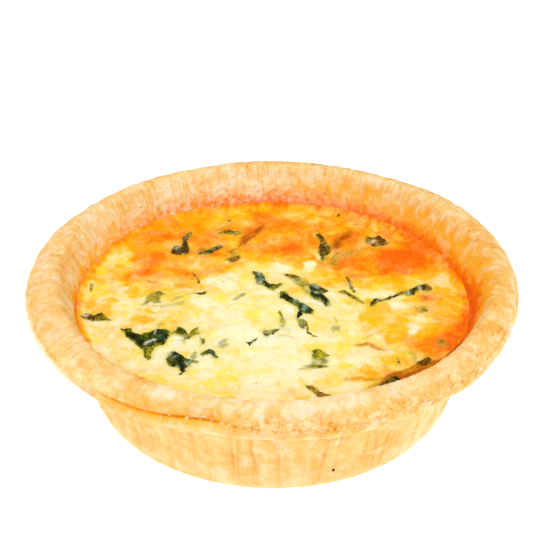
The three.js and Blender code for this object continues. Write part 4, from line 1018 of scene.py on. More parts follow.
def custard_masks(x, y):
    t, wx, wy = toast_field(x, y)
    b = blob
    # the patches lean a little, up to the right
    sx, sy = (wx * 0.93 + wy * 0.37), (-wx * 0.37 + wy * 0.93)
    broad = fbm(sx / 7.0, sy / 7.0, 0.5, seed=113, octaves=3, gain=0.55)
    patch = fbm(sx / 2.8, sy / 4.0, 1.5, seed=117, octaves=3, gain=0.58)
    small = fbm(x / 1.3, y / 1.8, 2.5, seed=119, octaves=2)
    toast = t + (0.20 * broad + 0.34 * patch) * smooth(0.04, 0.45, t) + (0.08 + 0.10 * smooth(0.3, 0.6, t)) * small
    pale = smooth(0.34, 0.14, t)
    mid = smooth(0.10, 0.34, t) * smooth(0.80, 0.5, t)

    def spots(kind, seed, grow=1.0, ragged=0.5, low=0.34, high=0.66, least=0.0):
        out = np.zeros_like(x)
        edge = fbm(sx / 1.8, sy / 2.8, seed * 1.7, seed=seed, octaves=3, gain=0.62)
        for cx, cy, rx, ry, turn in PATCHES[kind]:
            out = np.maximum(out, b(wx, wy, cx, cy, rx * grow, max(ry, least) * grow, turn, 1.15))
        return smooth(low, high, out + ragged * edge)

    def flecks(a, c, seed, low, high):
        return smooth(low, high, fbm(sx / a, sy / c, seed * 0.9, seed=seed, octaves=3, gain=0.58))

    lemon = spots("lemon", 201, 1.15)
    lemon = np.maximum(lemon, 0.6 * flecks(2.6, 3.8, 211, 0.08, 0.26) * pale)
    gold = spots("gold", 203, 1.1)
    gold = np.maximum(gold, 0.8 * flecks(2.8, 4.0, 213, 0.06, 0.24) * mid)
    peach = 0.9 * spots("peach", 205, 1.1)
    peach = np.maximum(peach, 0.6 * flecks(2.4, 3.6, 215, 0.06, 0.24) * smooth(0.9, 0.6, t))
    # milky patches, partly real curd and partly a painted sheen on the wet custard
    milk_and_sheen = 0.9 * spots("milk_and_sheen", 207, 1.15, 0.5, 0.30, 0.80, 1.5)
    milk_and_sheen = np.maximum(milk_and_sheen, 0.7 * flecks(2.4, 3.6, 217, 0.04, 0.24) * pale)
    r, th = np.hypot(x, y), np.arctan2(y, x)
    finger = noise(np.cos(th) * 48, np.sin(th) * 48, r / 9.0, seed=223) + 0.5 * noise(np.cos(th) * 90, np.sin(th) * 90, r / 7.0, seed=225)
    toast = toast + 0.22 * smooth(0.0, 0.5, -finger) * smooth(42.5, 47.5, r + 1.5 * patch) * np.clip(1.3 * arc(th, 50, 84), 0, 1)
    peach = np.maximum(peach, smooth(0.05, 0.5, finger) * smooth(43.0, 48.0, r + 2.0 * patch) * np.clip(1.4 * arc(th, 74, 62), 0, 1))
    milk_and_sheen = np.maximum(milk_and_sheen, 0.35 * smooth(0.15, 0.55, noise(x / 1.2, y / 1.9, 8.0, seed=219)) * pale)
    # pale whey on the middle of the pie, whose whiteness is partly a painted sheen
    milk_and_sheen = np.maximum(milk_and_sheen, smooth(0.30, 0.8, 1.0 * b(wx, wy, -4, -17, 13, 5.5, 8) + 0.9 * b(wx, wy, 3, -24, 6, 8) + 0.5 * flecks(2.2, 3.2, 221, -0.04, 0.2) - 0.35))
    milk_and_sheen = milk_and_sheen * (1 - 0.5 * lemon) * (1 - 0.8 * gold) * (1 - 0.35 * smooth(0.2, 0.5, t))
    # small bright curds, some of them painted wet glints
    curds_and_glints = 0.9 * smooth(0.2, 0.8, b(wx, wy, 8.9, 16.4, 1.1, 2.4, 12) + 0.4 * small)
    for cx, cy, rx, ry in ((0.6, -21.6, 2.0, 1.5), (-1.8, -24.6, 1.2, 1.0), (3.4, -27.4, 1.6, 1.2), (-6.4, -14.4, 1.6, 0.9), (-3.2, -31.4, 1.5, 1.0),
                           (-13.4, -15.4, 1.3, 0.8), (24.6, 3.0, 1.5, 0.7), (-9.6, -11.6, 1.4, 0.8), (8.4, -14.0, 1.2, 1.0), (-17.4, -27.6, 1.4, 0.8), (12.0, 0.4, 0.9, 1.6)):
        curds_and_glints = np.maximum(curds_and_glints, 0.85 * smooth(0.25, 0.75, b(wx, wy, cx, cy, rx * 1.3, ry * 1.3) + 0.5 * small))
    gold = gold * (0.45 + 0.55 * smooth(0.80, 0.55, t))

    # leaf under the skin of the custard
    veil = 0.0
    for poly, soft, a in (
        ([(-32.5,-2.5),(-32.2,-0.9),(-31.6,1.6),(-31.0,3.6),(-30.0,4.9),(-28.5,5.1),(-26.9,3.9),(-26.7,3.2),(-27.9,3.2),(-28.0,0.7),(-27.7,-0.4),(-29.4,-0.9),(-30.3,0.2)], 0.9, 0.85),
        ([(-31.0,3.6),(-30.0,4.9),(-28.5,5.1),(-26.9,3.9),(-28.6,3.4)], 0.5, 1.0),
        ([(2.7,12.4),(4.3,12.1),(6.1,10.8),(7.8,8.5),(8.9,7.1),(7.7,5.4),(6.0,6.9),(4.3,9.3)], 0.9, 0.85),
        ([(6.6,7.2),(7.2,9.8),(8.8,8.4),(9.6,5.6),(8.6,3.0),(7.2,4.6)], 0.8, 0.7),
        ([(9.2,-23.3),(12.3,-23.1),(13.2,-24.1),(12.7,-26.7),(10.6,-27.1),(8.5,-26.9),(9.2,-25.0)], 0.9, 0.8),
        ([(6.0,-28.2),(8.1,-26.2),(11.5,-26.0),(13.6,-26.6),(11.3,-27.6),(8.4,-27.8)], 0.8, 0.75),
        ([(-12.8,-17.6),(-10.6,-16.4),(-10.4,-18.8),(-11.8,-20.6),(-13.0,-20.1)], 0.9, 0.6),
        ([(-17.6,-15.6),(-16.2,-16.2),(-16.2,-18.9),(-16.9,-19.6),(-17.3,-17.4)], 0.9, 0.7),
        ([(-2.9,-12.6),(-2.0,-11.8),(-1.1,-12.8),(-0.4,-12.0),(0.2,-11.4),(1.6,-11.8),(0.6,-12.9),(-0.4,-13.6),(-1.2,-14.8),(-2.1,-14.4)], 0.8, 0.85),
        ([(13.3,20.2),(15.7,22.3),(18.1,23.3),(21.7,24.3),(18.6,20.8),(16.8,18.7),(16.4,16.0),(14.2,16.9)], 1.0, 0.6),
        ([(-21.5,3.9),(-19,3.6),(-24,2.2),(-26,0.2),(-25,-0.2),(-22.5,1.6)], 0.8, 0.6),
        ([(-10.4,0.8),(-9.0,2.2),(-7.6,3.6),(-6.6,3.4),(-7.6,1.8),(-9.2,0.6)], 0.6, 0.85),
        ([(1.6,-7.6),(2.6,-7.0),(3.4,-8.6),(2.6,-11.2),(1.9,-10.4)], 0.7, 0.7),
        ([(14.6,-6.6),(15.8,-8.4),(15.2,-11.6),(14.4,-13.8),(14.0,-11.4),(15.0,-9.2)], 0.7, 0.55),
        ([(15.2,-10.6),(16.4,-10.8),(16.4,-12.6),(15.0,-12.4)], 0.7, 0.6),
        ([(16.3,20.8),(19.5,22.4),(23.2,24.8),(23.4,24.2),(19.8,21.4)], 0.6, 0.6),
        ([(33.0,3.6),(33.4,5.6),(35.2,6.4),(35.0,4.2),(34.0,3.2)], 0.8, 0.6),
        ([(38.0,5.4),(37.8,7.6),(38.8,8.9),(40.0,7.4),(39.2,5.2)], 0.8, 0.6),
        ([(-20,23.2),(-18.0,24.6),(-16.4,24.2),(-17.6,22.2),(-20,21.4)], 1.0, 0.6),
        ([(-14.8,32.3),(-13.3,34.3),(-11.4,33.6),(-9.6,34.2),(-7.2,34.0),(-8.6,32.2),(-10.4,31.2),(-12.6,32.2)], 1.0, 0.7),
        ([(-12.8,23.0),(-10.6,23.6),(-8.6,21.0),(-8.8,18.6),(-10.6,17.0),(-11.6,18.6),(-10.4,20.8)], 0.8, 0.6),
        ([(-18.9,-22.9),(-18.4,-21.9),(-17.6,-22.6),(-18.0,-24.6),(-18.9,-24.9),(-19.4,-24.0)], 0.6, 0.85),
        ([(-25.2,-14.6),(-24.4,-12.9),(-22.6,-11.0),(-20.4,-14.4),(-20.6,-16.6),(-21.8,-15.2)], 0.9, 0.5),
        ([(-21.0,-15.8),(-20.6,-17.4),(-21.0,-18.6),(-21.8,-17.2)], 0.6, 0.5),
        ([(-27.8,-12.4),(-27.0,-12.4),(-26.4,-10.4),(-26.8,-9.2),(-27.6,-10.4)], 0.8, 0.6),
        ([(35.0,-1.8),(37.0,-0.8),(38.4,-2.0),(38.0,-3.6),(36.4,-4.2),(35.2,-3.2)], 1.0, 0.55),
        ([(32.4,-20.6),(33.6,-20.8),(34.0,-22.6),(33.4,-24.0),(32.6,-22.6)], 0.7, 0.4),
        ([(25.6,-25.4),(26.6,-25.6),(26.8,-27.4),(26.0,-27.6)], 0.5, 0.5), ([(29.2,-22.8),(29.8,-22.8),(29.8,-25.8),(29.2,-25.8)], 0.4, 0.6),
        ([(-45.9,8.4),(-45.3,8.2),(-45.1,4.4),(-45.9,4.2)], 0.5, 0.5), ([(20.2,1.0),(21.0,1.8),(22.6,0.2),(22.2,-0.5)], 0.6, 0.5),
        ([(-12.6,39.6),(-11.4,39.8),(-11.0,36.4),(-12.2,35.8)], 0.8, 0.5), ([(25.8,15.9),(27.4,15.4),(28.4,16.2),(28.2,17.8),(27.2,16.6)], 0.5, 0.5),
        ([(5.8,-7.4),(7.4,-7.8),(8.4,-10.0),(7.6,-11.6),(6.4,-10.4)], 0.6, 1.0), ([(-31,-2.6),(-24,-0.4),(-21.5,0.4),(-22,-1.6),(-27,-3.0)], 1.0, 0.45),
        ([(39.4,-15.2),(41.2,-15.4),(41.4,-17.6),(39.6,-17.4)], 1.0, 0.85), ([(14.0,1.2),(14.4,-1.2),(13.4,-3.0),(12.8,-1.8)], 0.7, 0.5),
    ):
        dd = polygon_distance(wx * 0.2 + x * 0.8, wy * 0.2 + y * 0.8, poly)
        veil = np.maximum(veil, a * smooth(-soft * 0.75, soft * 0.5, dd))
    veil = veil * np.clip(1.02 + 1.1 * fbm(sx / 2.2, sy / 0.9, 6.0, seed=127, octaves=3), 0.15, 1.25)
    # a few green specks in the pale part
    speck = smooth(0.52, 0.66, noise(x / 0.8, y / 0.8, 11.0, seed=151)) * smooth(0.16, 0.4, noise(x / 4.4, y / 4.4, 12.0, seed=153)) * smooth(0.7, 0.3, t)
    veil = np.clip(np.maximum(veil, 0.7 * speck), 0, 1)

    # whey tinted blue-green round the leaves, partly a painted wet sheen
    whey_and_sheen = 0.0
    for cx, cy, rx, ry, turn, a in (
        (5.9, -2.4, 1.3, 1.5, 0, 0.8), (4.6, -11.4, 3.4, 1.8, 5, 1.0), (5.4, -9.8, 2, 1.4, 0, 0.7), (11.0, 0.2, 1.6, 2.6, 40, 0.6), (-12, -18.6, 1.6, 2, 0, 0.6), (-1.0, -14.8, 2.6, 1.6, 0, 0.7),
        (-22.6, -16.6, 1.4, 2, 0, 0.7), (-15.6, -24.0, 2.4, 1.4, 0, 0.6), (10.6, -25.0, 2, 1.6, 0, 0.7), (4.0, -6.0, 1.4, 2.4, 20, 0.4), (-4.2, -17.4, 1.6, 1.2, 0, 0.5),
        (23.6, -12.2, 2, 0.9, 10, 0.5), (-18.6, -20.6, 1.6, 1.4, 0, 0.5), (-3.6, 14.4, 1, 1, 0, 0.4), (8.6, 1.2, 1.2, 1.4, 0, 0.4), (-12.4, -12.2, 2, 1, 0, 0.3),
    ):
        whey_and_sheen = np.maximum(whey_and_sheen, a * b(wx, wy, cx, cy, rx, ry, turn, 1.3))
    whey_and_sheen = whey_and_sheen * np.clip(0.75 + 1.5 * small + 0.8 * patch, 0, 1)

    # browned folds: beside leaf 11, the tail of leaf 10, and the edge of the loose skin
    char = 0.0
    for poly, soft, a in (
        ([(15.0,25.4),(16.2,29.6),(18.6,33.4),(20.4,34.4),(20.2,31.0),(18.2,27.0),(16.0,23.4)], 2.4, 0.92),
        ([(-11.5,22.8),(-9.4,24.2),(-8.9,26.0),(-8.4,29.2),(-8.9,30.6),(-6.4,32.6),(-2.1,37.4),(-2.5,34.6),(-5.4,30.1),(-7.0,27.0),(-9.0,24.0),(-11.0,22.0)], 1.2, 0.90),
        ([(8.4,24.6),(7.0,21.4),(7.4,21.0),(9.0,24.0)], 0.7, 0.35),
        ([(45.5,-16.0),(43.0,-19.4),(40.5,-22.1),(38.6,-23.2),(35.0,-23.6),(32.1,-26.6),(29.7,-28.0),(26.7,-29.7),(25.2,-31.6),(22.2,-34.0),(20.4,-36.0),(22.6,-37.4),(26.6,-35.4),(30.4,-33.2),(34.6,-30.6),(38.0,-27.6),(41.6,-24.4),(46.0,-18.8)], 0.7, 0.92),
        ([(-16.2,22.9),(-19.8,22.6),(-20.2,24.2),(-18.4,24.6)], 0.8, 0.35), ([(24.0,28.0),(24.4,31.8),(25.4,31.2),(24.9,28.4)], 0.6, 0.8),
        ([(36.8,2.6),(38.6,3.8),(38.2,1.8),(37.0,0.8)], 1.0, 0.5), ([(7.4,10.6),(8.2,9.6),(9.2,7.0),(8.6,6.6),(7.6,8.4)], 0.5, 0.45),
    ):
        char = np.maximum(char, a * smooth(-soft * 0.6, soft * 0.5, polygon_distance(wx * 0.15 + x * 0.85, wy * 0.15 + y * 0.85, poly)))

    # strands along each fold
    back = noise((0.87 * x - 0.5 * y) / 0.75, (0.5 * x + 0.87 * y) / 4.0, 15.0, seed=161)
    near = noise((0.62 * x - 0.78 * y) / 0.8, (0.78 * x + 0.62 * y) / 5.0, 16.0, seed=163)
    char = char * np.where(y > 0, np.clip(0.92 + 1.5 * back, 0.28, 1.1), np.clip(0.98 + 0.7 * near, 0.55, 1.1))
    veil = veil * np.where(y > 16, np.clip(0.95 + 1.5 * back, 0.3, 1.15), 1.0)

    def stroke(path, width, amount):
        nonlocal char
        char = np.maximum(char, amount * np.exp(-((path_distance(x + 0.15 * small, y + 0.15 * small, path) / width) ** 2)))

    line = path_distance(x, y, [(19.6, -18.1), (21.4, -17.5), (23.3, -18.2), (25.2, -19.7), (27.2, -20.1), (30.2, -21.0), (33.3, -21.4)])
    char = np.maximum(char, 0.95 * np.exp(-((line / 0.46) ** 2)) * smooth(19, 21, x) * (1 - 0.8 * smooth(25.5, 28.5, x)))
    veil = np.maximum(veil, 0.8 * np.exp(-((line / 0.5) ** 2)) * smooth(23.6, 21.5, x) * smooth(18.6, 20.4, x))
    stroke([(17.0, -31.6), (20.5, -31.2), (23.5, -31.6), (27.0, -31.0)], 0.6, 0.6)
    stroke([(1.5, -14.2), (3.5, -14.2), (4.6, -15.1)], 0.34, 0.55)
    stroke([(21.5, -15.6), (24, -13.6), (26.6, -12.4)], 0.22, 0.45)
    stroke([(-31.6, 9.2), (-30.6, 8.4), (-29.4, 8.6)], 0.32, 0.7)
    stroke([(-20.6, 13.2), (-19.4, 10.4), (-18.6, 8.4)], 0.26, 0.4)
    stroke([(38.6, -3.6), (39.6, -6.4)], 0.24, 0.35)
    stroke([(15.4, 30.6), (17.2, 34.4), (19.6, 38.0)], 0.3, 0.25)
    # fine wrinkles in the skin
    wrinkle = 1 - np.abs(noise(sx / 4.4, sy / 2.6, 13.0, seed=157)) / 0.06
    char = np.maximum(char, 0.26 * np.clip(wrinkle, 0, 1) * smooth(0.0, 0.25, noise(x / 6.0, y / 6.0, 14.0, seed=159)) * smooth(0.16, 0.34, t))
    for cx, cy, size, a in ((-3.8, -34, 0.5, 0.5), (-12.5, 8.5, 0.4, 0.5), (-31.2, 9.0, 0.5, 0.7), (7.2, 28.6, 0.5, 0.4), (37, -2.4, 0.9, 0.4),
                            (-18, -38, 0.4, 0.5), (22.5, -27.5, 0.5, 0.4), (19.4, -27.6, 0.4, 0.4), (-32.6, -3.8, 0.4, 0.5), (-29.2, -5.4, 0.4, 0.4), (29.5, -24.6, 0.4, 0.6)):
        char = np.maximum(char, a * b(x, y, cx, cy, size, size))
    return dict(toast=toast - 0.6 * curds_and_glints, lemon=lemon * (1 - curds_and_glints), gold=gold * (1 - curds_and_glints), milk_and_sheen=np.maximum(milk_and_sheen, curds_and_glints), peach=peach, veil=veil, whey_and_sheen=whey_and_sheen, char=char)


def path_distance(x, y, path):
    best = np.full(np.shape(x), 1e9)
    for a, b in zip(path, path[1:]):
        ex, ey = b[0] - a[0], b[1] - a[1]
        t = np.clip(((x - a[0]) * ex + (y - a[1]) * ey) / (ex * ex + ey * ey), 0, 1)
        best = np.minimum(best, np.hypot(x - a[0] - ex * t, y - a[1] - ey * t))
    return best


def custard_height(x, y):
    """The custard's real surface: the CAD's, with its lumps, wrinkles and the folds of its skin."""
    t, wx, wy = toast_field(x, y)
    r, th = np.hypot(x, y), np.arctan2(y, x)
    hold = 1 - smooth(46.2, 48.6, r)
    z = custard_top(x, y)
    sx, sy = wx * 0.93 + wy * 0.37, -wx * 0.37 + wy * 0.93
    z = z + hold * (0.30 * fbm(sx / 8.0, sy / 5.0, seed=131, octaves=3) + 0.26 * fbm(sx / 3.0, sy / 2.0, seed=133, octaves=3))
    ridged = 1 - np.abs(noise(sx / 3.4, sy / 1.9, 2.0, seed=137)) * 2
    z = z + hold * 0.14 * ridged * smooth(0.2, 0.6, t)
    z = z + hold * 0.10 * noise(x / 0.95, y / 0.95, seed=139)
    # the loose skin that lifts at the front right
    fold = polygon_distance(wx * 0.2 + x * 0.8, wy * 0.2 + y * 0.8, [(21.5,-17.8),(23.3,-13.9),(25.8,-12.1),(27.2,-12.4),(27.3,-15.8),(26.9,-19.3),(24.3,-18.8)])
    z = z + 0.34 * smooth(-0.4, 0.9, fold) - 0.22 * np.exp(-((fold + 0.6) / 0.6) ** 2)
    z = z + 0.32 * blob(x, y, 9.0, 17.2, 1.6, 2.8, -12)
    z = z - 0.30 * np.exp(-((path_distance(x, y, [(31, -31.5), (35.5, -27.0), (40.0, -21.5)]) / 1.2) ** 2))
    z = z + 0.21 * smooth(-1.2, 0.4, polygon_distance(x, y, [(14.9,25.3),(16.8,29.9),(20.0,32.5),(22.3,30.5),(19.5,25.1),(15.6,22.2)]))
    # the edge clings to the crust unevenly, and higher at the back left
    cling = 0.30 * noise(np.cos(th) * 16, np.sin(th) * 16, 3.0, seed=141) + (0.34 * noise(np.cos(th) * 34, np.sin(th) * 34, 4.0, seed=143) + 0.24 * noise(np.cos(th) * 76, np.sin(th) * 76, 5.0, seed=145)) * (0.35 + 0.65 * arc(th, 90, 80)) + 0.75 * arc(th, 140, 42) + 0.25 * arc(th, 172, 20)
    z = z + smooth(46.6, 48.9, r) * cling
    return z


def make_custard(material):
    u = np.linspace(-1, 1, GRID + 1)
    U, V = np.meshgrid(u, u, indexing="ij")
    X = U * np.sqrt(1 - V * V / 2) * CUSTARD_REACH
    Y = V * np.sqrt(1 - U * U / 2) * CUSTARD_REACH
    x, y = X.ravel(), Y.ravel()
    z = custard_height(x, y)
    # the surface dips a little round each sunken leaf, as egg draws up to it
    near = np.full(x.shape, 9.0)
    for poly in all_outlines():
        near = np.minimum(near, np.abs(polygon_distance(x, y, poly)))
    z = z - 0.12 * np.exp(-((near / 0.5) ** 2)) + 0.10 * np.exp(-(((near - 1.3) / 0.6) ** 2))
    masks = custard_masks(x, y)
    juice = np.exp(-((near / 0.9) ** 2)) * np.clip(0.62 + 1.2 * noise(x / 1.6, y / 1.6, 3.0, seed=161), 0, 1)
    masks["juice"] = juice
    top = np.stack([x, y, z], -1)
    idx = np.arange((GRID + 1) ** 2).reshape(GRID + 1, GRID + 1)
    quads = np.stack([idx[:-1, :-1], idx[1:, :-1], idx[1:, 1:], idx[:-1, 1:]], -1).reshape(-1, 4)
    # closed below: the side follows the inside of the case
    loop = np.concatenate([idx[:-1, 0], idx[-1, :-1], idx[:0:-1, -1], idx[0, :0:-1]])
    verts, faces = top, quads
    previous = loop
    angle = np.arctan2(y[loop], x[loop])
    for r, zz in ((47.9, 22.0), (44.6, 13.0), (40.7, 5.4), (39.0, 3.7), (26.0, 3.7), (12.0, 3.7)):
        ring = np.stack([r * np.cos(angle), r * np.sin(angle), np.full(len(loop), zz)], -1)
        now = len(verts) + np.arange(len(loop))
        verts = np.concatenate([verts, ring])
        faces = np.concatenate([faces, np.stack([previous, now, np.roll(now, -1), np.roll(previous, -1)], -1)])
        previous = now
    closing = [[previous[0], previous[k + 2], previous[k + 1], previous[k]] for k in range(1, len(previous) - 2, 2)]
    faces = np.concatenate([faces, np.array(closing)])
    extra = len(verts) - len(top)
    masks = {k: np.concatenate([np.broadcast_to(v, x.shape), np.full(extra, 0.25 if k == "toast" else 0.0)]) for k, v in masks.items()}
    return make_mesh("custard", place(verts), faces, material, masks)


def custard_material():
    n = Nodes("egg_custard")
    toast, lemon, gold, milk_and_sheen = n.attribute("toast"), n.attribute("lemon"), n.attribute("gold"), n.attribute("milk_and_sheen")
    peach, veil, char, juice, whey_and_sheen = n.attribute("peach"), n.attribute("veil"), n.attribute("char"), n.attribute("juice"), n.attribute("whey_and_sheen")
    cloud = n.noise(430.0, 4.0, 0.62, distortion=0.3)
    fine = n.noise(1500.0, 3.0, 0.6)

    def about(value, amount):
        return n.math("MULTIPLY", n.math("SUBTRACT", value, 0.5), amount)

    level = n.math("ADD", n.math("ADD", toast, about(cloud, 0.60)), about(fine, 0.34))
    base = n.ramp(level, [
        (0.0, srgb(243, 226, 164)),
        (0.16, srgb(245, 215, 118)),
        (0.32, srgb(246, 198, 66)),
        (0.47, srgb(248, 180, 14)),
        (0.62, srgb(247, 158, 0)),
        (0.78, srgb(246, 138, 0)),
        (0.92, srgb(244, 118, 0)),
        (1.0, srgb(240, 104, 0)),
    ])
    base = n.mix(n.math("MULTIPLY", peach, 0.78, clamp=True), base, n.ramp(level, [(0.1, srgb(248, 212, 146)), (0.5, srgb(248, 184, 96)), (0.9, srgb(246, 138, 30))]))
    base = n.mix(n.math("MULTIPLY", lemon, n.remap(fine, 0.3, 0.5, 0.65, 0.95), clamp=True), base, n.ramp(level, [(0.0, srgb(247, 226, 84)), (0.3, srgb(248, 214, 44)), (0.7, srgb(248, 188, 6))]))
    base = n.mix(n.math("MULTIPLY", gold, n.remap(cloud, 0.3, 0.5, 0.7, 1.0), clamp=True), base, n.ramp(level, [(0.0, srgb(249, 194, 24)), (0.3, srgb(249, 184, 4)), (0.7, srgb(248, 162, 0))]))
    # milky white, partly a painted sheen
    base = n.mix(n.math("MULTIPLY", milk_and_sheen, n.remap(cloud, 0.34, 0.54, 0.6, 1.0), clamp=True), base, n.mix(n.remap(toast, 0.22, 0.5), n.ramp(fine, [(0.36, srgb(245, 233, 184)), (0.6, srgb(248, 242, 214))]), srgb(248, 206, 122)))
    # paler and richer blots a few millimetres across
    blots = n.noise(165.0, 2.0, 0.45)
    base = n.mix(n.math("MULTIPLY", n.remap(blots, 0.48, 0.68, 0.0, 0.72), n.math("SUBTRACT", 1.0, n.math("MULTIPLY", gold, 0.8)), clamp=True), base, n.ramp(level, [(0.0, srgb(247, 236, 190)), (0.3, srgb(249, 214, 138)), (0.5, srgb(249, 192, 104)), (0.75, srgb(248, 166, 80)), (1.0, srgb(245, 132, 46))]))
    base = n.mix(n.math("MULTIPLY", n.remap(blots, 0.52, 0.34, 0.0, 0.72), n.math("SUBTRACT", 1.0, n.math("MULTIPLY", milk_and_sheen, 0.6)), clamp=True), base, n.ramp(level, [(0.0, srgb(246, 220, 96)), (0.3, srgb(247, 192, 24)), (0.5, srgb(247, 166, 0)), (0.75, srgb(245, 130, 0)), (1.0, srgb(238, 96, 0))]))
    # curds and browned dots about a millimetre across
    dots = n.noise(1300.0, 3.0, 0.66)
    base = n.mix(n.math("MULTIPLY", n.remap(dots, 0.54, 0.66, 0.0, 0.34), n.math("SUBTRACT", 1.0, n.math("MULTIPLY", gold, 0.7))), base, n.ramp(level, [(0.0, srgb(249, 243, 216)), (0.26, srgb(250, 232, 166)), (0.5, srgb(250, 202, 90)), (0.85, srgb(248, 160, 26))]))
    base = n.mix(n.remap(dots, 0.46, 0.35, 0.0, 0.34), base, n.ramp(level, [(0.0, srgb(248, 224, 112)), (0.26, srgb(247, 198, 30)), (0.5, srgb(246, 156, 0)), (0.85, srgb(241, 104, 0))]))
    # pale blue-white whey, partly a painted wet sheen
    base = n.mix(n.math("MULTIPLY", whey_and_sheen, 0.8, clamp=True), base, n.ramp(cloud, [(0.38, srgb(198, 212, 186)), (0.6, srgb(236, 244, 232))]))
    base = n.mix(n.math("MULTIPLY", juice, n.remap(level, 0.8, 0.4, 0.15, 0.55), clamp=True), base, n.ramp(fine, [(0.4, srgb(196, 180, 20)), (0.6, srgb(232, 218, 96))]))
    green = n.ramp(n.math("ADD", n.math("ADD", cloud, about(fine, 0.5)), about(veil, -0.3)), [(0.26, srgb(88, 94, 10)), (0.42, srgb(138, 136, 30)), (0.62, srgb(192, 178, 76))])
    base = n.mix(n.math("MULTIPLY", veil, 0.90, clamp=True), base, green)
    base = n.mix(n.math("MULTIPLY", char, n.remap(fine, 0.36, 0.56, 0.92, 1.12), clamp=True), base, n.ramp(level, [(0.1, srgb(208, 136, 10)), (0.34, srgb(198, 116, 0)), (0.6, srgb(184, 96, 0)), (0.95, srgb(156, 66, 0))]))
    height = n.math("ADD", cloud, n.math("MULTIPLY", fine, 0.40))
    n.set(
        Base_Color=base,
        Roughness=n.remap(cloud, 0.36, 0.62, 0.20, 0.46),
        Specular_IOR_Level=0.05,
        Subsurface_Weight=0.12,
        Subsurface_Radius=(1.0, 0.62, 0.28),
        Subsurface_Scale=0.0012,
        Normal=n.bump(height, 0.75, 0.7),
    )
    return n.material
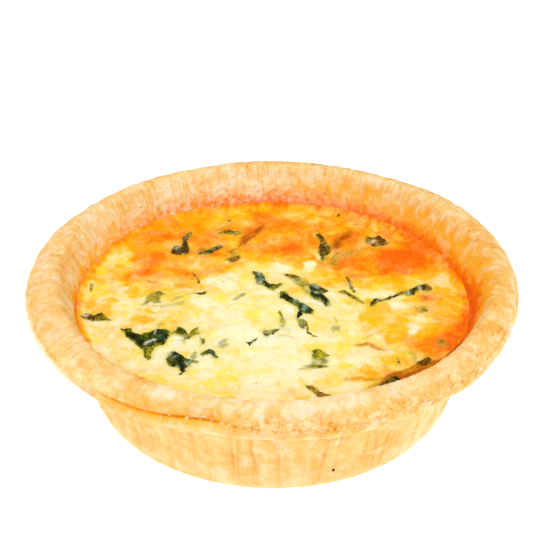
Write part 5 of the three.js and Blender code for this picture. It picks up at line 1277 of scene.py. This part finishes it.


# =====================================================================================
# spinach
# =====================================================================================
# Marks on the leaves: the pale highlight marks are painted highlights, the blue-grey teal marks a painted sheen and the
# pink marks a pinkish painted highlight; the dark, olive, amber and brown marks colour the leaf
MARKS = [
    ("leaf_highlight", [(-30.3,-19.0),(-29.4,-18.0),(-28.2,-17.2)], 0.50, 1.0), ("leaf_highlight", [(-28.3,-15.2),(-28.1,-13.6)], 0.28, 0.8),
    ("teal_sheen", [(-26.9,-16.5),(-26.6,-13.6)], 0.8, 0.35), ("dark", [(-34.4,-14.5),(-31.5,-16.5),(-30.4,-19.5)], 1.6, 0.8),
    ("dark", [(-27.4,-13.3),(-26.0,-15.5),(-27.4,-17.6)], 0.8, 0.8), ("olive", [(-29.4,-21.0),(-29.0,-24.4)], 0.9, 0.7),
    ("olive", [(-28.6,-20.2),(-26.6,-18.6)], 0.40, 0.9), ("olive", [(-34.8,-13.2),(-34.2,-12.0)], 0.5, 0.4), ("olive", [(-31.0,-15.4),(-30.6,-14.6)], 0.8, 0.3),
    ("olive", [(-24.6,-14.2),(-23.4,-12.2)], 0.6, 1.0), ("dark", [(-22.3,-12.4),(-21.8,-14.6)], 0.8, 0.6), ("olive", [(-18.4,-14.2),(-18.2,-12.2)], 0.5, 0.9),
    ("amber", [(-19.8,-15.0),(-19.2,-13.0)], 0.4, 0.6), ("leaf_highlight", [(-20.8,-16.2),(-21.0,-15.0)], 0.4, 0.5),
    ("leaf_highlight", [(-24.8,-23.8),(-24.2,-22.4)], 0.7, 0.8), ("dark", [(-23.4,-22.6),(-22.0,-24.6),(-21.4,-27.0),(-21.3,-29.6)], 0.8, 0.9),
    ("leaf_highlight", [(-22.9,-28.2),(-22.4,-27.8)], 0.5, 0.8), ("leaf_highlight", [(-20.0,-26.8),(-19.0,-26.4)], 0.6, 0.7), ("dark", [(-24.4,-26.0),(-23.0,-26.2)], 0.6, 0.6),
    ("leaf_highlight", [(-19.4,-25.2),(-18.0,-25.8)], 0.45, 0.5), ("dark", [(-24.9,-24.8),(-24.6,-25.8)], 0.4, 0.6), ("leaf_highlight", [(-22.6,-24.2),(-23.4,-24.8)], 0.4, 0.3),
    ("dark", [(-16.9,-22.6),(-16.4,-22.2)], 0.6, 0.9), ("teal_sheen", [(-14.9,-21.6),(-13.4,-23.4)], 0.6, 0.6), ("dark", [(-15.6,-21.6),(-14.6,-21.2)], 0.4, 0.5),
    ("dark", [(1.9,0.9),(3.5,1.0),(4.8,0.0)], 0.7, 0.9), ("olive", [(1.9,3.4),(1.8,1.6)], 0.40, 0.7), ("olive", [(2.8,3.2),(3.4,2.2)], 0.4, 0.4),
    ("teal_sheen", [(5.6,-0.6),(6.8,-1.4),(8.0,-2.8),(7.6,-4.4)], 0.9, 0.9), ("dark", [(6.9,-1.6),(6.8,-3.8)], 0.24, 0.9), ("leaf_highlight", [(7.5,-0.8),(7.4,-2.2)], 0.28, 0.9),
    ("dark", [(9.0,-2.6),(9.5,-3.8),(8.2,-4.8)], 0.55, 0.9), ("dark", [(6.7,-4.8),(6.1,-6.8)], 0.5, 0.9), ("leaf_highlight", [(5.2,0.7),(6.2,0.0)], 0.35, 0.6),
    ("leaf_highlight", [(9.8,6.8),(11.0,5.9)], 0.7, 0.6), ("amber", [(8.9,7.6),(9.3,7.2)], 0.5, 0.8), ("dark", [(10.2,5.0),(11.8,5.1)], 0.45, 0.8),
    ("leaf_highlight", [(10.5,3.3),(11.3,3.1)], 0.5, 0.7), ("dark", [(11.2,2.0),(12.8,1.7),(13.2,-0.6)], 0.7, 0.95), ("dark", [(9.3,5.4),(9.4,3.4),(10.2,1.8)], 0.4, 0.7),
    ("olive", [(13.3,-1.6),(13.1,-2.4)], 0.4, 0.6), ("amber", [(13.6,5.0),(13.0,4.6)], 0.4, 0.5),
    ("leaf_highlight", [(-3.9,13.0),(-3.5,11.8)], 0.5, 0.8), ("teal_sheen", [(-3.4,11.0),(-2.7,9.0)], 0.8, 0.9), ("dark", [(-4.9,13.6),(-4.6,11.4),(-3.9,10.2)], 0.32, 0.8),
    ("dark", [(-2.4,8.2),(-1.2,7.4),(0.4,6.6)], 0.55, 0.9), ("olive", [(0.9,7.5),(2.2,8.0)], 0.5, 0.9), ("leaf_highlight", [(-4.0,8.8),(-3.2,7.9)], 0.5, 0.6),
    ("olive", [(-0.2,4.8),(0.2,5.4)], 0.5, 0.5), ("leaf_highlight", [(-2.9,9.6),(-2.5,8.8)], 0.3, 0.6),
    ("dark", [(24.6,-0.8),(24.9,1.4)], 0.5, 0.8), ("leaf_highlight", [(25.8,1.0),(26.4,1.5)], 0.35, 0.6), ("brown", [(27.4,2.2),(30.0,3.4),(32.4,5.0)], 0.55, 0.95),
    ("leaf_highlight", [(33.9,5.3),(33.6,4.4)], 0.55, 0.8), ("dark", [(34.2,4.6),(34.5,4.4)], 0.32, 0.9), ("dark", [(35.0,6.0),(36.0,6.5)], 0.5, 0.7),
    ("leaf_highlight", [(36.6,7.1),(36.9,6.3)], 0.42, 0.95), ("dark", [(37.7,7.2),(37.8,6.0)], 0.4, 0.7), ("amber", [(38.7,8.3),(39.3,7.0),(38.6,5.9)], 0.65, 0.9),
    ("leaf_highlight", [(-25.2,23.2),(-24.5,24.2)], 0.7, 0.7), ("brown", [(-26.2,22.4),(-24.4,21.8),(-22.2,22.2)], 0.5, 0.7), ("dark", [(-23.3,27.0),(-22.9,24.4),(-22.6,22.8)], 0.8, 0.95),
    ("leaf_highlight", [(-23.2,30.0),(-23.0,28.8)], 0.32, 0.7), ("dark", [(-23.8,30.8),(-23.7,28.2)], 0.28, 0.6), ("amber", [(-22.4,31.8),(-22.0,31.2)], 0.7, 0.7),
    ("leaf_highlight", [(-16.4,24.6),(-15.4,25.0),(-13.8,25.3)], 0.6, 0.6), ("teal_sheen", [(-15.4,23.8),(-14.8,24.0)], 0.6, 0.7), ("dark", [(-17.8,22.2),(-16.4,22.5)], 0.5, 0.7),
    ("dark", [(11.9,31.6),(12.9,29.8)], 0.55, 0.9), ("amber", [(13.3,28.4),(13.0,27.2)], 0.7, 0.8), ("dark", [(13.4,24.9),(13.4,23.6)], 0.65, 0.95),
    ("leaf_highlight", [(13.8,26.0),(13.6,25.4)], 0.42, 0.7), ("dark", [(12.1,26.0),(12.4,22.6),(12.5,20.6)], 0.32, 0.7), ("amber", [(14.5,26.0),(14.7,23.6)], 0.5, 0.7),
    ("pink", [(25.6,27.6),(26.3,28.5)], 0.6, 0.75), ("brown", [(27.4,30.6),(28.8,29.2),(28.0,27.8)], 0.8, 0.9), ("dark", [(25.6,26.5),(26.8,26.3)], 0.45, 0.8),
    ("olive", [(28.5,27.6),(28.9,27.9)], 0.5, 0.7), ("amber", [(25.6,30.2),(26.4,30.2)], 0.8, 0.7), ("dark", [(28.4,30.2),(28.9,29.0)], 0.35, 0.8),
    ("olive", [(11.2,-21.2),(12.6,-22.5)], 1.0, 1.0), ("dark", [(9.7,-22.8),(10.3,-21.2)], 0.5, 0.65), ("teal_sheen", [(10.2,-23.2),(12.0,-23.2)], 0.35, 0.5),
    ("dark", [(8.6,-35.0),(9.4,-36.2)], 0.35, 0.6), ("olive", [(9.0,-36.0),(9.8,-37.2)], 0.4, 0.6), ("leaf_highlight", [(8.0,-34.4),(8.4,-35.0)], 0.4, 0.4),
    ("dark", [(27.9,-31.0),(28.7,-31.6)], 0.9, 0.95), ("dark", [(26.0,-32.6),(26.6,-32.4)], 0.4, 0.6), ("amber", [(23.3,-34.7),(25.6,-33.5)], 0.9, 0.9),
    ("olive", [(27.0,-31.0),(28.0,-30.2)], 0.4, 0.6), ("brown", [(34.6,-24.6),(36.0,-24.0),(36.9,-23.0)], 0.8, 0.75), ("brown", [(24.0,-34.2),(26.2,-33.0)], 0.8, 0.6), ("brown", [(28.2,-31.9),(29.2,-31.0)], 0.7, 0.8), ("amber", [(34.0,-24.9),(35.2,-24.4)], 0.9, 1.0),
    ("pink", [(-46.4,-6.7),(-45.2,-6.5)], 0.45, 1.0), ("dark", [(-47.0,-6.9),(-45.6,-7.8),(-44.0,-7.9)], 0.3, 0.8), ("brown", [(-42.7,-6.1),(-41.8,-6.5)], 0.65, 0.9),
    ("dark", [(-44.0,-6.4),(-43.6,-8.0)], 0.45, 0.9), ("olive", [(-41.2,-7.1),(-40.0,-7.7)], 0.6, 0.9),
    ("olive", [(16.8,5.1),(17.6,4.9)], 0.6, 1.0), ("dark", [(18.2,4.2),(19.4,3.0)], 0.35, 0.6), ("leaf_highlight", [(19.4,8.6),(19.7,6.0)], 0.5, 0.7),
    ("amber", [(18.6,11.6),(19.0,9.8)], 0.5, 0.8), ("olive", [(20.0,2.2),(21.4,0.7)], 0.35, 0.5),
    ("dark", [(-6.2,-17.8),(-5.4,-17.2)], 0.5, 0.9), ("teal_sheen", [(-18.6,3.4),(-17.0,3.6)], 0.4, 0.5), ("dark", [(-18.4,3.1),(-17.4,3.4)], 0.35, 0.8),
    ("leaf_highlight", [(-1.6,-13.4),(-0.4,-12.6)], 0.6, 0.7), ("leaf_highlight", [(2.0,-6.8),(2.4,-7.6)], 0.4, 0.6),
]


def marks_at(x, y, kind):
    out = np.zeros(np.shape(x))
    for k, path, width, strength in MARKS:
        if k == kind:
            out = np.maximum(out, strength * np.exp(-((path_distance(x, y, path if len(path) > 1 else path * 2) / width) ** 2) ** 1.4))
    return out


def leaf_mesh(outlines, rise=0.5, step=0.22, seed=0, crinkle=0.22):
    """A closed, crumpled sheet whose visible outline is where it dips under the custard."""
    p = np.concatenate([np.asarray(o, float) for o in outlines])
    low, high = p.min(0) - 1.0, p.max(0) + 1.0
    nx, ny = (np.ceil((high - low) / step)).astype(int) + 1
    gx, gy = np.meshgrid(low[0] + step * np.arange(nx), low[1] + step * np.arange(ny), indexing="ij")
    wob_x = gx + 0.26 * noise(gx / 0.8, gy / 0.8, 1.0, seed=seed + 1)
    wob_y = gy + 0.26 * noise(gx / 0.8, gy / 0.8, 2.0, seed=seed + 2)
    d = np.full(gx.shape, -9.0)
    for o in outlines:
        d = np.maximum(d, polygon_distance(wob_x, wob_y, o))
    z0 = custard_height(gx, gy)
    body = np.where(d > 0, rise * (1 - np.exp(-d / 0.45)), d * 1.4)
    folds = fbm(gx / 1.6, gy / 1.3, 3.0, seed=seed + 5, octaves=3)
    ridge = 1 - 2 * np.abs(noise(gx / 1.7, gy / 1.5, 5.0, seed=seed + 9))
    # the painted highlight marks raise the sheet a little and the dark marks lower it
    leaf_highlight, dark = marks_at(gx, gy, "leaf_highlight"), marks_at(gx, gy, "dark")
    z = z0 + 0.05 + body + crinkle * smooth(-0.1, 0.5, d) * (folds + 0.7 * ridge + 0.5 * leaf_highlight - 0.4 * dark)
    keep = d > -0.42
    cell = keep[:-1, :-1] | keep[1:, :-1] | keep[1:, 1:] | keep[:-1, 1:]
    used = np.zeros(gx.shape, bool)
    used[:-1, :-1] |= cell
    used[1:, :-1] |= cell
    used[1:, 1:] |= cell
    used[:-1, 1:] |= cell
    index = -np.ones(gx.shape, int)
    index[used] = np.arange(used.sum())
    count = int(used.sum())
    top = np.stack([gx[used], gy[used], z[used]], -1)
    bottom = top.copy()
    bottom[:, 2] = np.minimum(z0[used], z[used]) - 0.45
    i, j = np.nonzero(cell)
    quads = np.stack([index[i, j], index[i + 1, j], index[i + 1, j + 1], index[i, j + 1]], -1)
    under = quads[:, ::-1] + count
    # side walls where a cell has no neighbour
    sides = []
    for di, dj, a, b in ((-1, 0, (0, 1), (0, 0)), (1, 0, (1, 0), (1, 1)), (0, -1, (0, 0), (1, 0)), (0, 1, (1, 1), (0, 1))):
        ni, nj = i + di, j + dj
        inside = (ni >= 0) & (nj >= 0) & (ni < cell.shape[0]) & (nj < cell.shape[1])
        there = np.zeros(len(i), bool)
        there[inside] = cell[ni[inside], nj[inside]]
        e = ~there
        va, vb = index[i[e] + a[0], j[e] + a[1]], index[i[e] + b[0], j[e] + b[1]]
        sides.append(np.stack([va, va + count, vb + count, vb], -1))
    faces = np.concatenate([quads, under] + sides)
    verts = np.concatenate([top, bottom])
    # pale film near the edges, partly custard film and partly painted highlight, with the painted highlight marks added
    film_and_highlight = 0.8 * smooth(0.22, 0.5, fbm(gx / 1.0, gy / 0.8, 8.0, seed=seed + 13, octaves=2)) * smooth(0.9, 0.2, d)
    both = {"depth": d, "crinkle": 0.6 * ridge + 0.5 * folds, "film_and_highlight": np.maximum(film_and_highlight, leaf_highlight), "dark": dark}
    for kind in ("olive", "amber", "teal_sheen", "brown", "pink"):
        both[kind] = marks_at(gx, gy, kind)
    return verts, faces, {k: np.concatenate([v[used], v[used]]) for k, v in both.items()}


def join(parts):
    verts, faces, attrs, start = [], [], {}, 0
    for v, f, a in parts:
        verts.append(v)
        faces.append(np.asarray(f) + start)
        start += len(v)
        for k, x in a.items():
            attrs.setdefault(k, []).append(x)
    return np.concatenate(verts), np.concatenate(faces), {k: np.concatenate(v) for k, v in attrs.items()}


def spinach_material():
    n = Nodes("wilted_spinach")
    depth, crinkle, film_and_highlight, deep = n.attribute("depth"), n.attribute("crinkle"), n.attribute("film_and_highlight"), n.attribute("dark")
    olive, amber, teal_sheen, brown, pink = (n.attribute(k) for k in ("olive", "amber", "teal_sheen", "brown", "pink"))
    fine = n.noise(1700.0, 3.0, 0.62)
    patch = n.noise(560.0, 3.0, 0.6)

    def about(value, amount):
        return n.math("MULTIPLY", n.math("SUBTRACT", value, 0.5), amount)

    level = n.math("ADD", n.math("ADD", 0.46, n.math("MULTIPLY", crinkle, 0.16)), n.math("ADD", about(patch, 1.0), about(fine, 0.7)))
    level = n.math("SUBTRACT", level, n.math("MULTIPLY", deep, 0.22))
    base = n.ramp(level, [
        (0.22, srgb(20, 24, 0)), (0.40, srgb(40, 46, 0)), (0.56, srgb(68, 78, 4)), (0.74, srgb(104, 114, 26)), (0.92, srgb(150, 158, 72)),
    ])
    # blue-grey teal marks: a painted sheen on the wet leaf
    base = n.mix(n.math("MULTIPLY", teal_sheen, n.remap(fine, 0.3, 0.6, 0.6, 0.95), clamp=True), base, n.ramp(level, [(0.3, srgb(38, 74, 44)), (0.6, srgb(96, 138, 106)), (0.85, srgb(158, 186, 160))]))
    base = n.mix(n.math("MULTIPLY", olive, 0.95, clamp=True), base, n.ramp(level, [(0.28, srgb(104, 100, 0)), (0.52, srgb(164, 154, 2)), (0.8, srgb(206, 194, 44))]))
    base = n.mix(n.math("MULTIPLY", amber, n.remap(fine, 0.3, 0.6, 0.7, 1.0), clamp=True), base, n.ramp(level, [(0.28, srgb(118, 64, 2)), (0.52, srgb(178, 114, 20)), (0.8, srgb(228, 174, 78))]))
    base = n.mix(n.math("MULTIPLY", brown, 0.9, clamp=True), base, n.ramp(level, [(0.3, srgb(50, 24, 2)), (0.7, srgb(116, 66, 24))]))
    edge = n.math("MULTIPLY", n.remap(depth, 0.32, -0.06), n.remap(patch, 0.42, 0.58))
    base = n.mix(n.math("MULTIPLY", edge, 0.8, clamp=True), base, n.ramp(fine, [(0.36, srgb(126, 128, 4)), (0.62, srgb(196, 186, 70))]))
    # pale film and painted highlights
    base = n.mix(n.math("MULTIPLY", film_and_highlight, n.remap(fine, 0.32, 0.55, 0.45, 0.9), clamp=True), base, n.ramp(fine, [(0.34, srgb(128, 140, 104)), (0.5, srgb(178, 190, 152)), (0.66, srgb(226, 234, 212))]))
    # pink marks: a pinkish painted highlight
    base = n.mix(n.math("MULTIPLY", pink, 0.9, clamp=True), base, n.ramp(fine, [(0.36, srgb(196, 150, 112)), (0.6, srgb(244, 214, 188))]))
    n.set(
        Base_Color=base,
        Roughness=n.remap(fine, 0.36, 0.62, 0.16, 0.36),
        Specular_IOR_Level=0.05,
        Subsurface_Weight=0.04,
        Subsurface_Radius=(0.6, 1.0, 0.3),
        Subsurface_Scale=0.0006,
        Normal=n.bump(n.math("ADD", fine, n.math("MULTIPLY", n.voronoi(640.0, "DISTANCE_TO_EDGE"), 0.9)), 0.8, 0.32),
    )
    return n.material


OLIVE = {"spinach_leaf_02": 0.35, "spinach_leaf_13": 0.85, "spinach_leaf_14": 0.25, "spinach_leaf_18": 0.35, "spinach_leaf_07": 0.05}
AMBER = {"spinach_leaf_08": 0.25, "spinach_leaf_09": 0.28, "spinach_leaf_10": 0.42, "spinach_leaf_11": 0.40, "spinach_leaf_12": 0.62,
         "spinach_leaf_14": 0.72, "spinach_leaf_15": 0.36, "spinach_leaf_16": 0.60, "spinach_leaf_17": 0.35, "spinach_leaf_18": 0.40}
FLAT = {"spinach_leaf_10", "spinach_leaf_13", "spinach_leaf_14", "spinach_leaf_18"}


def make_spinach(material):
    made = []
    for k, (name, outlines) in enumerate(LEAVES.items()):
        flat = name in FLAT
        v, f, a = leaf_mesh(outlines, rise=0.22 if flat else 0.42, seed=200 + 11 * k, crinkle=0.14 if flat else 0.34)
        worn = np.clip(0.5 + 1.1 * fbm(v[:, 0] / 1.8, v[:, 1] / 1.8, 4.0, seed=205 + k, octaves=2), 0, 1.4)
        a["olive"] = np.maximum(a["olive"], OLIVE.get(name, 0.0) * 1.6 * worn)
        a["amber"] = np.maximum(a["amber"], AMBER.get(name, 0.0) * 1.6 * worn)
        a["film_and_highlight"] = a["film_and_highlight"] * (1 - 0.75 * AMBER.get(name, 0.0))
        made.append((name, make_mesh(name.replace("spinach_leaf", "leaf"), place(v), f, material, a)))
    parts = []
    for k, (outline, olive) in enumerate(SCRAPS):
        v, f, a = leaf_mesh([outline], rise=0.18, step=0.2, seed=500 + 7 * k, crinkle=0.12)
        worn = np.clip(0.5 + 1.1 * fbm(v[:, 0] / 1.4, v[:, 1] / 1.4, 4.0, seed=705 + k, octaves=2), 0, 1.4)
        browned = outline[0][1] > 7.5
        a["olive"] = np.maximum(a["olive"], (0.4 if browned else 1.3) * olive * worn)
        a["amber"] = np.maximum(a["amber"], (1.2 if browned else 0.3) * worn)
        parts.append((v, f, a))
    v, f, a = join(parts)
    return made, make_mesh("leaf_scraps", place(v), f, material, a)


# =====================================================================================
# crumbs on the folded edge
# =====================================================================================
def crumb_shape(detail_seed, rng):
    import bmesh

    bm = bmesh.new()
    bmesh.ops.create_icosphere(bm, subdivisions=2, radius=1.0)
    v = np.array([p.co[:] for p in bm.verts])
    f = np.array([[q.index for q in face.verts] for face in bm.faces])
    bm.free()
    n = v / np.linalg.norm(v, axis=1, keepdims=True)
    v = n * (1 + 0.34 * noise(n[:, 0] * 1.3, n[:, 1] * 1.3, n[:, 2] * 1.3, seed=detail_seed))[:, None]
    return v * rng.uniform(0.7, 1.15, 3), f


def make_flakes(material, skin):
    """Thin flakes of pastry that lift from the folded edge."""
    rng = np.random.default_rng(52)
    spec = [(270.8, 13.9, 1.7, 0.15, 0.12), (274.6, 13.8, 1.5, 0.14, 0.11), (278.6, 13.4, 1.2, 0.14, 0.10), (264.6, 13.5, 1.2, 0.13, 0.09)]
    for _ in range(44):
        a = (300 + rng.normal(0, 26)) if rng.random() < 0.72 else rng.uniform(0, 360)
        spec.append((a, rng.uniform(9.8, 13.9), rng.uniform(0.4, 1.2), rng.uniform(0.18, 0.42), rng.uniform(0.08, 0.20)))
    nu, nv = 15, 9
    u, v = np.meshgrid(np.linspace(-1, 1, nu), np.linspace(-1, 1, nv), indexing="ij")
    du, dv = u * np.sqrt(1 - v * v / 2), v * np.sqrt(1 - u * u / 2)
    rim = np.maximum(np.abs(u), np.abs(v))
    idx = np.arange(nu * nv).reshape(nu, nv)
    q = np.stack([idx[:-1, :-1], idx[1:, :-1], idx[1:, 1:], idx[:-1, 1:]], -1).reshape(-1, 4)
    loop = np.concatenate([idx[:-1, 0], idx[-1, :-1], idx[:0:-1, -1], idx[0, :0:-1]])
    parts = []
    for k, (a, s_at, half_a, half_s, rise) in enumerate(spec):
        ragged = 1 + 0.28 * noise(du * 1.7, dv * 1.7, k * 1.3, seed=611) * rim
        p, nn = skin.at(a + half_a * du * ragged, s_at + half_s * dv * ragged)
        lift = rise * smooth(-1.0, 0.9, dv) * (1 - 0.6 * du * du) + 0.05 * noise(du * 3, dv * 3, k * 2.1, seed=613)
        up = p + nn * (0.03 + lift + 0.06 * (1 - rim ** 4))[..., None]
        down = p + nn * (np.maximum(lift - 0.10, -0.12) - 0.08)[..., None]
        down[..., :] = np.where((dv < 0.2)[..., None], p - nn * 0.15, down)
        m = nu * nv
        verts = np.concatenate([up.reshape(-1, 3), down.reshape(-1, 3)])
        side = np.stack([loop, loop + m, np.roll(loop, -1) + m, np.roll(loop, -1)], -1)
        faces = np.concatenate([q, q[:, ::-1] + m, side])
        attrs = {k2: np.zeros(2 * m) for k2 in ("stain", "deep", "pink", "lined", "calm")}
        tone = rng.uniform(0.05, 0.4) + 0.25 * smooth(0.75, 1.0, rim).ravel()
        # the underside of each flake gets painted shade: darker, with the deeper orange of the fold
        attrs["tone"] = np.concatenate([tone, tone + 0.3])
        attrs["crevice_shade"] = np.concatenate([0.0 * tone, 0.0 * tone + 0.6])
        attrs["crumbly"] = np.full(2 * m, 0.6)
        attrs["ax"], attrs["ay"], attrs["al"] = verts[:, 0] / 54, verts[:, 1] / 54, np.full(2 * m, s_at)
        parts.append((verts, faces, attrs))
    v, f, a = join(parts)
    return make_mesh("pastry_flakes", place(v), f, material, a)


def make_crumbs(material, skin):
    rng = np.random.default_rng(78)
    parts = []
    for k, (a, s_at, size) in enumerate(crumb_list()):
        p, nn = skin.at(np.array([a]), np.array([s_at]))
        v, f = crumb_shape(900 + k, rng)
        v = v * size + p[0] + nn[0] * 0.15 * size
        m = len(v)
        red = 17.0 < s_at and a < 150
        attrs = {k2: np.zeros(m) for k2 in ("stain", "deep", "pink", "crevice_shade", "crumbly", "lined", "calm")}
        attrs["tone"] = np.full(m, rng.uniform(0.20, 0.50))
        attrs["pink"] = np.full(m, 0.8 if red else 0.0)
        attrs["ax"], attrs["ay"], attrs["al"] = v[:, 0] / 54, v[:, 1] / 54, np.full(m, s_at)
        parts.append((v, f, attrs))
    v, f, a = join(parts)
    return make_mesh("pastry_crumbs", place(v), f, material, a)


def make_specks(skin):
    """Burnt specks: one on the wall, at the front right, and two tiny ones on the rim."""
    n = Nodes("burnt")
    grain = n.noise(2600.0, 3.0, 0.6)
    n.set(
        Base_Color=n.ramp(grain, [(0.35, srgb(46, 8, 2)), (0.65, srgb(112, 34, 8))]),
        Roughness=n.remap(grain, 0.35, 0.65, 0.5, 0.7),
        Specular_IOR_Level=0.2,
        Normal=n.bump(grain, 0.6, 0.2),
    )
    rng = np.random.default_rng(91)
    parts = []
    for k, (a, s_at, size) in enumerate(((288.0, 2.6, 0.46), (171.5, 15.2, 0.17), (308.0, 16.6, 0.16))):
        p, nn = skin.at(np.array([a]), np.array([s_at]))
        v, f = crumb_shape(980 + k, rng)
        v = v - 0.6 * (v @ nn[0])[:, None] * nn[0]  # flattened against the crust
        parts.append((v * size + p[0] + nn[0] * 0.08 * size, f, {}))
    v, f, a = join(parts)
    return make_mesh("burnt_specks", place(v), f, n.material)


# =====================================================================================
# build
# =====================================================================================
bpy.context.scene.view_settings.view_transform = "Standard"
bpy.context.scene.view_settings.look = "None"
make_camera()
make_stage()

PASTRY, CUSTARD, SPINACH = pastry_material(), custard_material(), spinach_material()

pastry, skin = make_pastry(PASTRY)
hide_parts("pastry_case")
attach(pastry, "root")

custard = make_custard(CUSTARD)
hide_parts("custard_filling")
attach(custard, "root")

leaves, scraps = make_spinach(SPINACH)
for node, piece in leaves:
    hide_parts(node)
    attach(piece, "root")
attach(scraps, "root")

for extra in (make_crumbs(PASTRY, skin), make_flakes(PASTRY, skin), make_specks(skin)):
    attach(extra, "root")

for o in bpy.context.scene.objects:
    if o.type == "MESH" and not o.hide_render:
        print(o.name, len(o.data.polygons))
